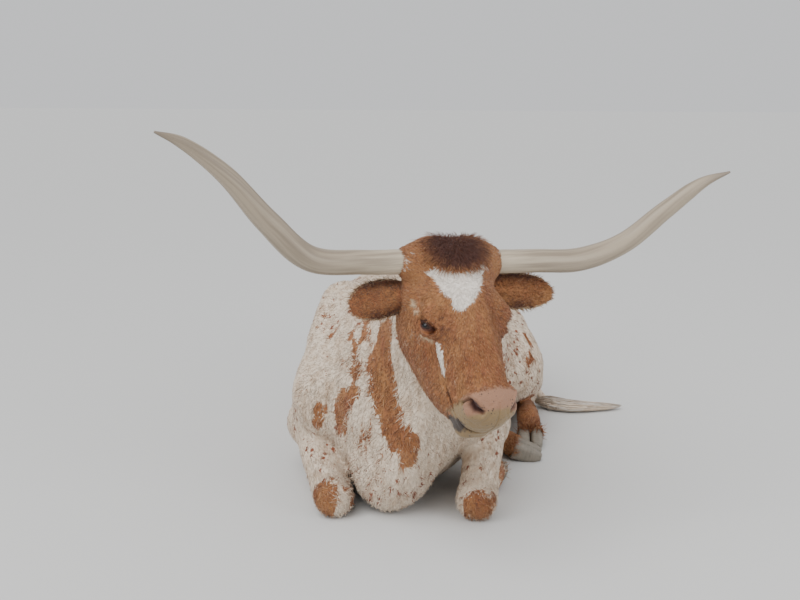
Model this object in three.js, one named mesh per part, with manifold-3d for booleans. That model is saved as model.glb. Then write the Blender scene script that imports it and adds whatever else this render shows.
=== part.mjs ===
// A Texas longhorn lying on its brisket with the head raised and turned to its left, at life size.
// Units are millimetres. +X is the animal's left, -Y is the way the body points, +Z is up, and the
// ground is Z = 0. Flesh is one smooth field of blended limbs, meshed piece by piece and parted by
// thin flat cuts. Horns, ears, eyes, claws and locks of hair are shaped on their own.
import * as THREE from "three";
import { mergeVertices } from "three/addons/utils/BufferGeometryUtils.js";
import Module from "manifold-3d";

const wasm = await Module();
wasm.setup();

// Driving dimensions
const GAP = 0.3;
const BACK_HEIGHT = 700;
const BARREL_HALF_WIDTH = 385;
const HEAD_AT = [254, -691, 920];
const HEAD_YAW = 29.5;
const HEAD_PITCH = 52;
const HEAD_ROLL = -7;
const EYE_RADIUS = 21;
const EAR_LENGTH = 210;
const EAR_HALF_WIDTH = 55;
const HORN_RADIUS = 34;
const CLAW_LENGTH = 88;
const CLAW_WIDTH = 44;
const CLAW_HEIGHT = 62;
const SWITCH_LENGTH = 330;

const radians = THREE.MathUtils.degToRad;
const vector = (p) => new THREE.Vector3(...p);
const mix = (a, b, t) => a + (b - a) * t;

// The head's own frame: L to the animal's left, A down the face from poll to muzzle, N out of the face.
function headMatrix() {
  const pitch = radians(HEAD_PITCH);
  const roll = radians(HEAD_ROLL);
  const level = new THREE.Vector3(1, 0, 0);
  const a = new THREE.Vector3(0, -Math.cos(pitch), -Math.sin(pitch));
  const out = new THREE.Vector3().crossVectors(a, level);
  const l = level.clone().multiplyScalar(Math.cos(roll)).addScaledVector(out, Math.sin(roll));
  const n = out.clone().multiplyScalar(Math.cos(roll)).addScaledVector(level, -Math.sin(roll));
  const turned = new THREE.Matrix4().makeRotationZ(radians(HEAD_YAW));
  return turned.multiply(new THREE.Matrix4().makeBasis(l, a, n)).setPosition(...HEAD_AT);
}

const HEAD = headMatrix();
const HEAD_INVERSE = HEAD.clone().invert();
const fromHead = (p) => vector(p).applyMatrix4(HEAD).toArray();

// Smooth union of two field values.
function blend(a, b, k) {
  const h = Math.max(k - Math.abs(a - b), 0) / k;
  return Math.min(a, b) - (h * h * k) / 4;
}

// A limb is a chain of stations [x, y, z, half width, half height], widened along its side vector.
function limb(stations, { side = [1, 0, 0], power = 2, soft = 40, steps = 4 } = {}) {
  const fine = [];
  const last = stations.length - 1;
  for (let i = 0; i < last; i++)
    for (let s = 0; s < steps; s++) fine.push(stationAt(stations, i, s / steps));
  fine.push(stations[last]);
  const parts = fine.slice(1).map((b, i) => segment(fine[i], b, vector(side)));
  const reach = Math.max(...stations.map((s) => Math.max(s[3], s[4]))) + 160;
  const box = new THREE.Box3().setFromPoints(stations.map((s) => vector(s.slice(0, 3))));
  box.expandByScalar(reach);
  const along = steps > 1 ? 6 : 1;
  function value(x, y, z) {
    let least = 1e6;
    for (const part of parts) least = blend(least, part(x, y, z, power), along);
    return least;
  }
  return { value, box, soft };
}

// Catmull-Rom between stations i and i + 1.
function stationAt(stations, i, t) {
  const p = stations[Math.max(i - 1, 0)];
  const a = stations[i];
  const b = stations[i + 1];
  const q = stations[Math.min(i + 2, stations.length - 1)];
  return a.map((v, k) => {
    const bend = 2 * p[k] - 5 * v + 4 * b[k] - q[k];
    const turn = 3 * (v - b[k]) + q[k] - p[k];
    return v + 0.5 * t * (b[k] - p[k] + t * (bend + t * turn));
  });
}

function segment(a, b, side) {
  const start = vector(a.slice(0, 3));
  const along = vector(b.slice(0, 3)).sub(start);
  const length = Math.max(along.length(), 1e-3);
  const u = along.clone().divideScalar(length);
  const s = side.clone().addScaledVector(u, -side.dot(u)).normalize();
  const v = new THREE.Vector3().crossVectors(u, s);
  return (x, y, z, power) => {
    const dx = x - start.x;
    const dy = y - start.y;
    const dz = z - start.z;
    const run = dx * u.x + dy * u.y + dz * u.z;
    const t = Math.min(Math.max(run / length, 0), 1);
    const w = mix(a[3], b[3], t);
    const h = mix(a[4], b[4], t);
    const over = Math.abs(run - t * length) / ((w + h) / 2);
    const across = Math.abs(dx * s.x + dy * s.y + dz * s.z) / w;
    const up = Math.abs(dx * v.x + dy * v.y + dz * v.z) / h;
    const sum = across ** power + up ** power + over ** power;
    return (sum ** (1 / power) - 1) * Math.min(w, h);
  };
}

function fieldOf(limbs) {
  return (x, y, z) => {
    let value = 1e6;
    for (const { value: of, box, soft } of limbs) {
      if (x < box.min.x || y < box.min.y || z < box.min.z) continue;
      if (x > box.max.x || y > box.max.y || z > box.max.z) continue;
      value = blend(value, of(x, y, z), soft);
    }
    return value;
  };
}

// A limb on each side of the head, the pair moved sideways by a shift.
const bothSides = (stations, options, shift = 0) =>
  [1, -1].map((hand) => limb(stations.map(([l, ...rest]) => [hand * l + shift, ...rest]), options));

// Head, in its own frame. The lower jaw hangs a little to the animal's right.
const JAW_SHIFT = -13;
const headLimbs = [
  limb(
    [
      [0, 76, -96, 116, 70],
      [0, 124, -110, 124, 104],
      [0, 200, -124, 116, 124],
      [0, 265, -125, 106, 122],
      [0, 335, -115, 90, 106],
      [0, 405, -104, 76, 92],
      [0, 455, -92, 68, 76],
      [0, 478, -90, 62, 60],
    ],
    { power: 2.3, soft: 20 },
  ),
  limb([[0, 62, -62, 86, 40], [0, 90, -66, 96, 44]], { soft: 40 }),
  limb([[-8, 470, -66, 52, 50], [8, 470, -66, 52, 50]], { side: [0, 1, 0], soft: 30 }),
  limb([[JAW_SHIFT - 24, 507, -151, 30, 27], [JAW_SHIFT + 24, 507, -151, 30, 27]], { side: [0, 1, 0], soft: 16 }),
  ...bothSides([[70, 50, -66, 60, 58], [126, 54, -63, 44, 42]], { side: [0, 1, 0], soft: 44 }),
  ...bothSides([[94, 186, -52, 26, 24], [114, 226, -54, 25, 22], [100, 268, -62, 20, 18]], { soft: 26 }),
  ...bothSides([[103, 236, -77, 30, 29], [103, 244, -77, 30, 29]], { soft: 18 }),
  ...bothSides([[84, 130, -150, 44, 64], [88, 215, -180, 46, 70], [70, 320, -180, 38, 58], [56, 400, -168, 34, 46]],
    { soft: 40 }, JAW_SHIFT / 2),
  ...bothSides([[44, 250, -222, 34, 36], [32, 400, -186, 30, 32], [24, 480, -150, 26, 24]], { soft: 34 }, JAW_SHIFT),
  ...bothSides([[46, 464, -44, 30, 28], [52, 484, -68, 27, 26]], { soft: 20 }),
  ...bothSides([[44, 462, -100, 34, 26], [38, 490, -102, 30, 22]], { soft: 22 }),
];
const headField = fieldOf(headLimbs);

// Body: trunk, neck and legs
const KNEE_RIGHT = [-126, -548, 56];
const KNEE_LEFT = [316, -512, 56];
const ELBOW_RIGHT = [-272, -208, 180];
const ELBOW_LEFT = [322, -190, 196];
const FORE_CORONET_RIGHT = [-224, -238, 34];
const FORE_CORONET_LEFT = [352, -200, 34];
const HOCK_LEFT = [430, 560, 56];
const HIND_CORONET_LEFT = [470, 158, 52];
const HIND_CORONET_RIGHT = [424, -6, 44];

const round = (p, r) => [...p, r, r];
const trunk = [
  limb(
    [
      [50, -440, 262, 112, 165],
      [42, -340, 300, 205, 255],
      [32, -180, 312, 278, 318],
      [28, 0, 315, 330, 328],
      [30, 180, 310, 360, 325],
      [33, 360, 300, BARREL_HALF_WIDTH - 8, 318],
      [38, 520, 290, 350, 302],
      [44, 680, 280, 292, 286],
      [44, 790, 268, 226, 256],
      [44, 860, 262, 158, 205],
    ],
    { power: 2.35, soft: 40 },
  ),
  limb(
    [
      [40, -200, BACK_HEIGHT - 72, 60, 62],
      [28, -40, BACK_HEIGHT - 52, 62, 52],
      [26, 150, BACK_HEIGHT - 92, 60, 50],
      [32, 420, BACK_HEIGHT - 122, 62, 50],
      [42, 660, BACK_HEIGHT - 128, 70, 50],
      [46, 840, BACK_HEIGHT - 205, 52, 50],
    ],
    { soft: 90 },
  ),
  limb([[-170, 640, 470, 60, 50], [-110, 860, 330, 80, 80]], { soft: 90 }),
  limb([[225, 620, 535, 60, 50], [170, 860, 350, 80, 80]], { soft: 90 }),
  limb([[-178, -60, 540, 70, 110], [-196, -330, 320, 88, 115]], { side: [0.9, -0.3, 0.3], soft: 80 }),
  limb([[240, -60, 540, 70, 110], [274, -330, 320, 92, 115]], { side: [0.9, 0.3, -0.3], soft: 80 }),
  limb([[50, -470, 124, 118, 118], [44, -492, 112, 104, 108]], { soft: 70 }),
];
const neck = [
  limb(
    [
      [20, -150, 470, 190, 215],
      [62, -330, 515, 155, 205],
      [126, -480, 600, 116, 172],
      [186, -575, 690, 102, 140],
      [216, -618, 746, 96, 116],
    ],
    { side: [0.95, 0.25, 0], soft: 80 },
  ),
  limb(
    [
      [198, -600, 570, 38, 56],
      [170, -586, 450, 34, 66],
      [126, -566, 320, 42, 74],
      [80, -540, 190, 60, 80],
    ],
    { side: [0.92, 0.38, 0], soft: 70 },
  ),
];
const legs = [
  limb([[-196, -330, 320, 88, 115], [...ELBOW_RIGHT, 80, 88]], { soft: 70 }),
  limb([[...ELBOW_RIGHT, 76, 80], [-200, -380, 114, 66, 66], round(KNEE_RIGHT, 62)], { soft: 30 }),
  limb([round(KNEE_RIGHT, 54), [-160, -420, 36, 38, 40], [-192, -320, 38, 44, 44], [...FORE_CORONET_RIGHT, 42, 38]],
    { soft: 16 }),
  limb([[274, -330, 320, 92, 115], [...ELBOW_LEFT, 80, 88]], { soft: 70 }),
  limb([[...ELBOW_LEFT, 78, 80], [320, -346, 124, 64, 66], round(KNEE_LEFT, 62)], { soft: 26 }),
  limb([round(KNEE_LEFT, 54), [330, -390, 36, 38, 40], [346, -290, 38, 44, 44], [...FORE_CORONET_LEFT, 42, 38]],
    { soft: 16 }),
  limb([[170, 640, 400, 130, 150], [310, 430, 320, 130, 150], [384, 285, 262, 122, 132]], { soft: 80 }),
  limb([[386, 290, 250, 118, 128], [420, 430, 165, 96, 100], [...HOCK_LEFT, 58, 62]], { soft: 40 }),
  limb([round(HOCK_LEFT, 52), [444, 400, 62, 37, 42], [460, 248, 76, 42, 44], [...HIND_CORONET_LEFT, 44, 44]],
    { soft: 16 }),
  limb([[-110, 660, 300, 140, 160], [-300, 320, 170, 120, 140], [-240, 520, 90, 100, 90]], { soft: 80 }),
  limb([[250, 130, 50, 40, 40], [340, 62, 54, 44, 44], [...HIND_CORONET_RIGHT, 44, 42]],
    { side: [0, 1, 0], soft: 16 }),
];

const bodyField = fieldOf([...trunk, ...neck, ...legs]);
const NECK_SOFT = 60;
const at = new THREE.Vector3();
function flesh(x, y, z) {
  const body = bodyField(x, y, z);
  at.set(x, y, z).applyMatrix4(HEAD_INVERSE);
  return blend(body, headField(at.x, at.y, at.z), NECK_SOFT);
}

// Solids from triangles, and back
function solidOf(geometry) {
  const plain = geometry.clone();
  plain.deleteAttribute("normal");
  plain.deleteAttribute("uv");
  const merged = mergeVertices(plain, 1e-3);
  return new wasm.Manifold(
    new wasm.Mesh({
      numProp: 3,
      vertProperties: new Float32Array(merged.attributes.position.array),
      triVerts: new Uint32Array(merged.index.array),
    }),
  );
}

function largestOf(solid) {
  return solid.decompose().reduce((best, one) => (one.volume() > best.volume() ? one : best));
}

function geometryOf(solid) {
  const { numProp, vertProperties, triVerts } = solid.getMesh();
  if (numProp !== 3) throw new Error("a solid holds more than positions");
  const geometry = new THREE.BufferGeometry();
  geometry.setAttribute("position", new THREE.BufferAttribute(vertProperties, 3));
  geometry.setIndex(new THREE.BufferAttribute(triVerts, 1));
  geometry.computeVertexNormals();
  return geometry;
}

// Each cell that the surface crosses gets one vertex, and each crossed grid edge one face.
function netOf(value, low, high, cell) {
  const size = low.map((l, k) => Math.ceil((high[k] - l) / cell) + 1);
  const [nx, ny, nz] = size;
  const index = (i, j, k) => i + nx * (j + ny * k);
  const samples = new Float64Array(nx * ny * nz);
  const place = (i, k) => low[k] + i * cell;
  for (let k = 0; k < nz; k++)
    for (let j = 0; j < ny; j++)
      for (let i = 0; i < nx; i++) {
        const rim = i === 0 || j === 0 || k === 0 || i === nx - 1 || j === ny - 1 || k === nz - 1;
        samples[index(i, j, k)] = rim ? 9 * cell : value(place(i, 0), place(j, 1), place(k, 2));
      }
  closeCorners(samples, size, cell);
  const points = [];
  const vertexOf = new Map();
  const corners = [0, 1, 2, 3, 4, 5, 6, 7].map((c) => [c & 1, (c >> 1) & 1, c >> 2]);
  for (let k = 0; k < nz - 1; k++)
    for (let j = 0; j < ny - 1; j++)
      for (let i = 0; i < nx - 1; i++) {
        const v = corners.map(([a, b, c]) => samples[index(i + a, j + b, k + c)]);
        const inside = v.filter((x) => x < 0).length;
        if (inside === 0 || inside === 8) continue;
        const sum = [0, 0, 0];
        let count = 0;
        for (let c = 0; c < 8; c++)
          for (const bit of [1, 2, 4]) {
            const d = c | bit;
            if (d === c || v[c] < 0 === v[d] < 0) continue;
            const t = v[c] / (v[c] - v[d]);
            for (let m = 0; m < 3; m++) sum[m] += mix(corners[c][m], corners[d][m], t);
            count++;
          }
        vertexOf.set(index(i, j, k), points.length / 3);
        points.push(...[i, j, k].map((g, m) => low[m] + (g + sum[m] / count) * cell));
      }
  settle(points, value, cell);
  const triangles = [];
  const stride = [1, nx, nx * ny];
  for (let k = 0; k < nz - 1; k++)
    for (let j = 0; j < ny - 1; j++)
      for (let i = 0; i < nx - 1; i++)
        for (let m = 0; m < 3; m++) {
          const here = index(i, j, k);
          const inside = samples[here] < 0;
          if (inside === samples[here + stride[m]] < 0) continue;
          const p = stride[(m + 1) % 3];
          const q = stride[(m + 2) % 3];
          const ring = [here - p - q, here - q, here, here - p].map((c) => vertexOf.get(c));
          if (!inside) ring.reverse();
          const [a, b, c, d] = ring;
          triangles.push(...(gap(points, a, c) < gap(points, b, d) ? [a, b, c, a, c, d] : [a, b, d, b, c, d]));
        }
  const geometry = new THREE.BufferGeometry();
  geometry.setAttribute("position", new THREE.Float32BufferAttribute(points, 3));
  geometry.setIndex(triangles);
  return geometry;
}

// Where only two opposite corners of a grid face are inside, fills the nearer of the other two, so
// that no two sheets of the surface share an edge.
function closeCorners(samples, [nx, ny, nz], cell) {
  const strides = [1, nx, nx * ny];
  for (let changed = true; changed; ) {
    changed = false;
    for (let m = 0; m < 3; m++) {
      const p = strides[m];
      const q = strides[(m + 1) % 3];
      for (let c = 0; c + p + q < nx * ny * nz; c++) {
        const ring = [c, c + p, c + p + q, c + q];
        const inside = ring.map((i) => samples[i] < 0);
        if (inside[0] !== inside[2] || inside[1] !== inside[3] || inside[0] === inside[1]) continue;
        const [b, d] = inside[0] ? [ring[1], ring[3]] : [ring[0], ring[2]];
        samples[samples[b] < samples[d] ? b : d] = -0.1 * cell;
        changed = true;
      }
    }
  }
}

function gap(points, a, b) {
  return Math.hypot(...[0, 1, 2].map((m) => points[3 * a + m] - points[3 * b + m]));
}

// Moves each vertex onto the surface, by at most half a cell.
function settle(points, value, cell) {
  const step = 1;
  for (let i = 0; i < points.length; i += 3) {
    const [x, y, z] = points.slice(i, i + 3);
    const here = value(x, y, z);
    const slope = [value(x + step, y, z) - here, value(x, y + step, z) - here, value(x, y, z + step) - here];
    const steep = slope[0] ** 2 + slope[1] ** 2 + slope[2] ** 2;
    if (steep < 1e-4) continue;
    const far = THREE.MathUtils.clamp(-here / steep, -0.5 * cell, 0.5 * cell);
    for (let m = 0; m < 3; m++) points[i + m] += far * slope[m];
  }
}

// A region is a box in a frame of its own. Regions are parted from one another by thin cuts.
function region(low, high, frame = new THREE.Matrix4()) {
  const middle = low.map((l, k) => (l + high[k]) / 2);
  function solid(grow = 0) {
    const box = new THREE.BoxGeometry(...low.map((l, k) => high[k] - l + 2 * grow));
    return solidOf(box.translate(...middle).applyMatrix4(frame));
  }
  return { low, high, frame, solid };
}

// Meshes the field inside a region, then cuts it to the region and away from the regions before it.
function fleshOf(place, cell, before) {
  const margin = 2.2 * cell;
  const spot = new THREE.Vector3();
  const value = (x, y, z) => {
    spot.set(x, y, z).applyMatrix4(place.frame);
    return Math.max(flesh(spot.x, spot.y, spot.z), -spot.z - margin);
  };
  const low = place.low.map((l) => l - margin);
  const high = place.high.map((h) => h + margin);
  const geometry = netOf(value, low, high, cell).applyMatrix4(place.frame);
  let solid = solidOf(geometry).intersect(place.solid());
  for (const other of before) solid = solid.subtract(other.solid(GAP));
  return solid;
}

// A frame at a point, with Y along a direction and X as near as can be to a side.
function frameAlong(origin, direction, side) {
  const y = vector(direction).normalize();
  const x = vector(side);
  x.addScaledVector(y, -x.dot(y)).normalize();
  const z = new THREE.Vector3().crossVectors(x, y);
  return new THREE.Matrix4().makeBasis(x, y, z).setPosition(...origin);
}

const between = (a, b) => a.map((v, k) => b[k] - v);
const headDirection = (l, a, n) => between(HEAD_AT, fromHead([l, a, n]));
const headRegionFrame = frameAlong(fromHead([0, -14, -104]), headDirection(0, 0.577, 0.817), headDirection(1, 0, 0));
const neckFrame = frameAlong([60, -375, 520], [0.12, -0.8, 0.58], [1, 0, 0]);
const legFrame = (from, to, side) => frameAlong(from, between(from, to), side);
const regions = {
  head: region([-230, 0, -130], [230, 430, 560], headRegionFrame),
  foreleg_right_lower: region([-270, -488, 0], [-90, FORE_CORONET_RIGHT[1], 92]),
  foreleg_left_lower: region([276, -452, 0], [410, FORE_CORONET_LEFT[1], 94]),
  hindleg_left_lower: region([398, HIND_CORONET_LEFT[1], 0], [540, 505, 140]),
  hindleg_right_lower: region([374, -60, 0], [HIND_CORONET_RIGHT[0], 112, 112]),
  foreleg_right_upper: region([-92, 30, -104], [92, 480, 104], legFrame(ELBOW_RIGHT, KNEE_RIGHT, [1, 0.4, 0])),
  foreleg_left_upper: region([-92, 30, -106], [96, 460, 106], legFrame(ELBOW_LEFT, KNEE_LEFT, [1, 0, 0])),
  hindleg_left_upper: region([262, 140, 0], [560, 690, 440]),
  hindleg_right_upper: region([-470, 130, 0], [-232, 700, 330]),
  neck: region([-420, 0, -620], [520, 700, 520], neckFrame),
  torso: region([-480, -700, 0], [560, 1120, 800]),
};
const CELL = {
  head: 22,
  foreleg_right_lower: 27,
  foreleg_left_lower: 25,
  hindleg_left_lower: 27,
  hindleg_right_lower: 22,
  foreleg_right_upper: 34,
  foreleg_left_upper: 34,
  hindleg_left_upper: 46,
  hindleg_right_upper: 48,
  neck: 40,
  torso: 62,
};

// A tapering bar along a curve. Its size is [half width, half height] at each share of its length,
// the half width lies along the side vector, and dish lifts its two edges.
function sweep(path, size, { side = [0, 0, 1], rings = 12, spokes = 10, power = 2, dish = () => 0, grow = 0 } = {}) {
  const curve = new THREE.CatmullRomCurve3(path.map(vector));
  const geometry = new THREE.CylinderGeometry(1, 1, 1, spokes, rings);
  const position = geometry.attributes.position;
  const across = vector(side);
  for (let i = 0; i < position.count; i++) {
    const t = position.getY(i) + 0.5;
    const x = position.getX(i);
    const z = position.getZ(i);
    const u = curve.getTangent(t);
    const s = across.clone().addScaledVector(u, -across.dot(u)).normalize();
    const v = new THREE.Vector3().crossVectors(s, u);
    const square = (Math.abs(x) ** power + Math.abs(z) ** power) ** (-1 / power);
    const r = x === 0 && z === 0 ? 0 : square * Math.hypot(x, z);
    const [w, h] = size(t);
    const spot = curve.getPoint(t).addScaledVector(s, x * r * (w + grow));
    spot.addScaledVector(v, z * r * (h + grow) + dish(t) * (x * (1 + grow / w)) ** 2);
    if (t === 0) spot.addScaledVector(u, -grow);
    if (t === 1) spot.addScaledVector(u, grow);
    position.setXYZ(i, ...spot.toArray());
  }
  return solidOf(geometry);
}

// A straight run between listed values, by share of length.
function profile(...values) {
  return (t) => {
    const p = Math.min(t, 1) * (values.length - 1);
    const i = Math.min(Math.floor(p), values.length - 2);
    return mix(values[i], values[i + 1], p - i);
  };
}

const headPath = (path) => path.map(fromHead);
const HEAD_L = headDirection(1, 0, 0);
const HEAD_A = headDirection(0, 1, 0);
const HEAD_N = headDirection(0, 0, 1);

// Horns
const HORN_PATHS = {
  horn_right: [fromHead([-128, 54, -63]), [18, -797, 852], [-111, -868, 872], [-201, -945, 979],
    [-282, -1025, 1105], [-365, -1091, 1187], [-417, -1125, 1213]],
  horn_left: [fromHead([128, 56, -66]), [469, -560, 823], [601, -491, 818], [725, -441, 860],
    [845, -408, 956], [950, -379, 1034], [1028, -348, 1062]],
};
const HORN_TAPER = {
  horn_right: profile(1.02, 1, 0.99, 1, 1.02, 1.02, 0.98, 0.9, 0.79, 0.68, 0.56, 0.42, 0.26, 0.09),
  horn_left: profile(1.02, 1, 1, 1, 1.02, 1.0, 0.93, 0.89, 0.84, 0.76, 0.66, 0.46, 0.28, 0.1),
};
function horn(name, grow = 0) {
  const size = (t) => [HORN_RADIUS * HORN_TAPER[name](t), HORN_RADIUS * HORN_TAPER[name](t)];
  return sweep(HORN_PATHS[name], size, { side: HEAD_A, rings: 22, spokes: 12, grow });
}

// Ears, cupped towards the front
const EARS = {
  ear_right: { tip: [-292, 134, -168], toward: -1, length: EAR_LENGTH - 8 },
  ear_left: { tip: [322, 142, -92], toward: 1, length: EAR_LENGTH + 20 },
};
function ear(name, grow = 0) {
  const { tip, toward, length } = EARS[name];
  const base = [toward * 100, 128, -106];
  const reach = length / Math.hypot(...between(base, tip));
  const path = [0, 0.3, 0.65, 1].map((t, i) => {
    const droop = [0, -5, -3, 6][i];
    return fromHead(base.map((v, k) => mix(v, tip[k], t * reach) + (k === 1 ? droop : 0)));
  });
  const width = profile(0.5, 0.58, 0.76, 0.9, 0.98, 1, 0.98, 0.91, 0.74, 0.36);
  const thick = profile(24, 19, 12, 8, 6, 5, 4.5, 4, 3, 2);
  const cup = profile(6, 18, 32, 36, 35, 32, 27, 20, 12, 4);
  return sweep(path, (t) => [EAR_HALF_WIDTH * width(t), thick(t)], {
    side: headDirection(0, 0.93, -0.36),
    rings: 9,
    spokes: 14,
    dish: (t) => toward * -cup(t),
    grow,
  });
}

// Eyes, and the opening between the lids
const EYE_AT = [109, 240, -77];
const eyeCentre = (toward) => fromHead([toward * EYE_AT[0], EYE_AT[1], EYE_AT[2]]);
function eye(toward, grow = 0) {
  const ball = new THREE.SphereGeometry(EYE_RADIUS + grow, 12, 8);
  return solidOf(ball.translate(...eyeCentre(toward)));
}
function lidOpening(toward) {
  const from = eyeCentre(toward);
  const out = headDirection(toward * 0.9, 0.08, 0.42);
  const end = from.map((v, k) => v + 60 * out[k]);
  return sweep([from, end], () => [18, 10], { side: headDirection(0, 0.96, -0.28), rings: 1, spokes: 14, power: 1.6 });
}

// The height of the skin over a place on the face.
function skinAt(l, a) {
  let n = 40;
  while (headField(l, a, n) > 0 && n > -160) n -= 1;
  return n;
}

// Nostrils and the line of the mouth
function nostril(toward) {
  const path = [[74, 462], [69, 479], [58, 495], [42, 506]].map(([l, a]) => [toward * l, a, skinAt(toward * l, a) - 1]);
  const size = profile(4, 8, 10, 7);
  return sweep(headPath(path), (t) => [size(t), size(t)], { side: HEAD_L, rings: 6, spokes: 8 });
}
function mouthLine() {
  const lip = [[66, 400, -118], [64, 440, -122], [56, 480, -124], [34, 508, -124], [0, 516, -123]];
  const path = [...lip.map(([l, ...rest]) => [-l - 6, ...rest]), ...lip.slice(0, -1).reverse()];
  const outward = path.map(([l, a, n]) => {
    const r = Math.hypot(l, a - 400);
    let out = 0;
    while (headField(l + (out * l) / r, a + (out * (a - 400)) / r, n) < 0 && out < 40) out += 1;
    return [l + (out * l) / r, a + (out * (a - 400)) / r, n];
  });
  return sweep(headPath(outward), () => [3.5, 9], { side: HEAD_N, rings: 16, spokes: 4 });
}

// Locks of hair: flat, tapering and bent, each rooted under the skin
function lock(path, width, thickness, side) {
  const size = (t) => [width * profile(0.7, 1, 0.75, 0.12)(t), thickness * profile(1, 1, 0.8, 0.2)(t)];
  return sweep(path, size, { side, rings: 3, spokes: 4 });
}
const scatter = (i, k) => ((((Math.sin(i * 12.9898 + k * 78.233) * 43758.5453) % 1) + 1) % 1) - 0.5;

function forelock() {
  const locks = [];
  for (let row = 0; row < 3; row++)
    for (let i = 0; i < 5; i++) {
      const id = row * 6 + i;
      const l = (i - 2) * (30 - 3 * row) + (row % 2) * 12 + 10 * scatter(id, 1);
      const a = 12 + 25 * row + 8 * scatter(id, 2);
      const lean = 0.4 * l + 26 * scatter(id, 3);
      const reach = 44 + 14 * scatter(id, 8);
      const over = (share, lift) => {
        const [x, y] = [l + share * lean, a + share * reach];
        return [x, y, skinAt(x, y) + lift];
      };
      locks.push(lock(headPath([over(0, -16), over(0.1, 7), over(0.5, 13), over(1, 8)]), 15, 6, HEAD_L));
    }
  return locks;
}

const TAIL_END = [530, 575, 22];
function tail(grow = 0) {
  const path = [[46, 930, 425], [56, 1030, 350], [92, 1075, 190], [190, 1040, 50], [350, 915, 22], [470, 750, 21],
    [514, 645, 21], TAIL_END];
  const girth = profile(40, 34, 28, 25, 22, 20, 18, 16);
  return sweep(path, (t) => [girth(t), girth(t)], { side: [1, 0.4, 0], rings: 18, spokes: 10, grow });
}
function tailSwitch() {
  const core = [[524, 612, 24], TAIL_END, [578, 534, 30], [660, 532, 32], [510 + SWITCH_LENGTH * 0.72, 552, 24]];
  const locks = [sweep(core, (t) => [profile(24, 30, 30, 22, 8)(t), profile(22, 26, 26, 18, 6)(t)],
    { side: [0, 0, 1], rings: 6, spokes: 7 })];
  for (let i = 0; i < 12; i++) {
    const turn = (i * 2.4) % (2 * Math.PI);
    const y = Math.cos(turn);
    const z = Math.sin(turn);
    const begin = 0.3 + 0.45 * (scatter(i, 4) + 0.5);
    const end = SWITCH_LENGTH * (0.62 + 0.36 * (scatter(i, 5) + 0.5));
    const along = [begin * 0.35, mix(begin * 0.35, end / SWITCH_LENGTH, 0.4), mix(begin * 0.35, end / SWITCH_LENGTH, 0.72),
      end / SWITCH_LENGTH];
    const spread = [14, 30, 28 + 12 * scatter(i, 6), 12 + 30 * (scatter(i, 7) + 0.5)];
    const path = along.map((t, k) => [510 + SWITCH_LENGTH * t, 540 - 22 * t + 62 * t * t + y * spread[k],
      Math.max(31 - 6 * t + 0.8 * z * spread[k], 7)]);
    locks.push(lock(path, 17, 8, [0, -z, y]));
  }
  return locks;
}

// Claws: two to a foot, side by side, from the coronet to the toe
const FEET = {
  fore_right: { at: FORE_CORONET_RIGHT, toe: [-238, -238 + CLAW_LENGTH, 15], side: [1, 0, 0], outer: -1 },
  fore_left: { at: FORE_CORONET_LEFT, toe: [358, -200 + CLAW_LENGTH, 15], side: [1, 0, 0], outer: 1 },
  hind_left: { at: HIND_CORONET_LEFT, toe: [476, 158 - CLAW_LENGTH, 15], side: [1, 0, 0], outer: 1 },
  hind_right: { at: HIND_CORONET_RIGHT, toe: [424 + CLAW_LENGTH, 4, 15], side: [0, 1, 0], outer: -1 },
};
function claw({ at: start, toe, side }, hand, grow = 0) {
  const beside = (p, out) => p.map((v, k) => v + hand * out * side[k]);
  const ahead = vector(between(start, toe)).normalize().toArray();
  const from = start.map((v, k) => v - 12 * ahead[k] - (k === 2 ? 6 : 0));
  const middle = start.map((v, k) => mix(v, toe[k], 0.55) - (k === 2 ? 5 : 0));
  const half = CLAW_WIDTH / 2;
  const body = sweep([beside(from, half + 0.5), beside(middle, half + 3), beside(toe, half - 1)],
    (t) => [half * profile(0.97, 1, 1, 0.92, 0.6)(t), (CLAW_HEIGHT / 2) * profile(1, 0.98, 0.86, 0.7, 0.42)(t)],
    { side, rings: 5, spokes: 10, power: 2.5, grow });
  return body;
}

// Everything below the ground level is cut away.
const ABOVE_GROUND = solidOf(new THREE.BoxGeometry(4000, 4000, 3000).translate(0, 0, 1500));
const join = (solids) => solids.reduce((sum, one) => sum.add(one));
const cut = (solid, tools) => tools.reduce((left, tool) => left.subtract(tool), solid);

const solids = {};
const done = [];
for (const [name, place] of Object.entries(regions)) {
  solids[name] = fleshOf(place, CELL[name], done).intersect(ABOVE_GROUND);
  done.push(place);
}

const features = {
  horn_right: horn("horn_right"),
  horn_left: horn("horn_left"),
  ear_right: ear("ear_right"),
  ear_left: ear("ear_left"),
  eye_right: eye(-1),
  eye_left: eye(1),
};
const sockets = [
  horn("horn_right", GAP), horn("horn_left", GAP), ear("ear_right", 2 * GAP), ear("ear_left", 2 * GAP),
  eye(-1, GAP), eye(1, GAP), lidOpening(-1), lidOpening(1), nostril(-1), nostril(1), mouthLine(),
];
solids.head = cut(join([solids.head, ...forelock()]), sockets);
const tailTool = tail(GAP);
for (const name of ["torso", "hindleg_left_upper", "hindleg_left_lower"]) solids[name] = solids[name].subtract(tailTool);
solids.tail = tail().intersect(ABOVE_GROUND);
solids.tail_switch = join(tailSwitch()).intersect(ABOVE_GROUND).subtract(tailTool);
Object.assign(solids, features);

for (const [foot, place] of Object.entries(FEET)) {
  const [pair, hand] = foot.split("_");
  const leg = `${pair === "fore" ? "foreleg" : "hindleg"}_${hand}`;
  const coronet = regions[`${leg}_lower`].solid(GAP);
  for (const [which, turn] of [["outer", place.outer], ["inner", -place.outer]]) {
    solids[`claw_${foot}_${which}`] = claw(place, turn).intersect(ABOVE_GROUND).subtract(coronet);
    const room = claw(place, turn, GAP);
    for (const near of [`${leg}_upper`, "torso"]) solids[near] = solids[near].subtract(room);
  }
}

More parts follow.
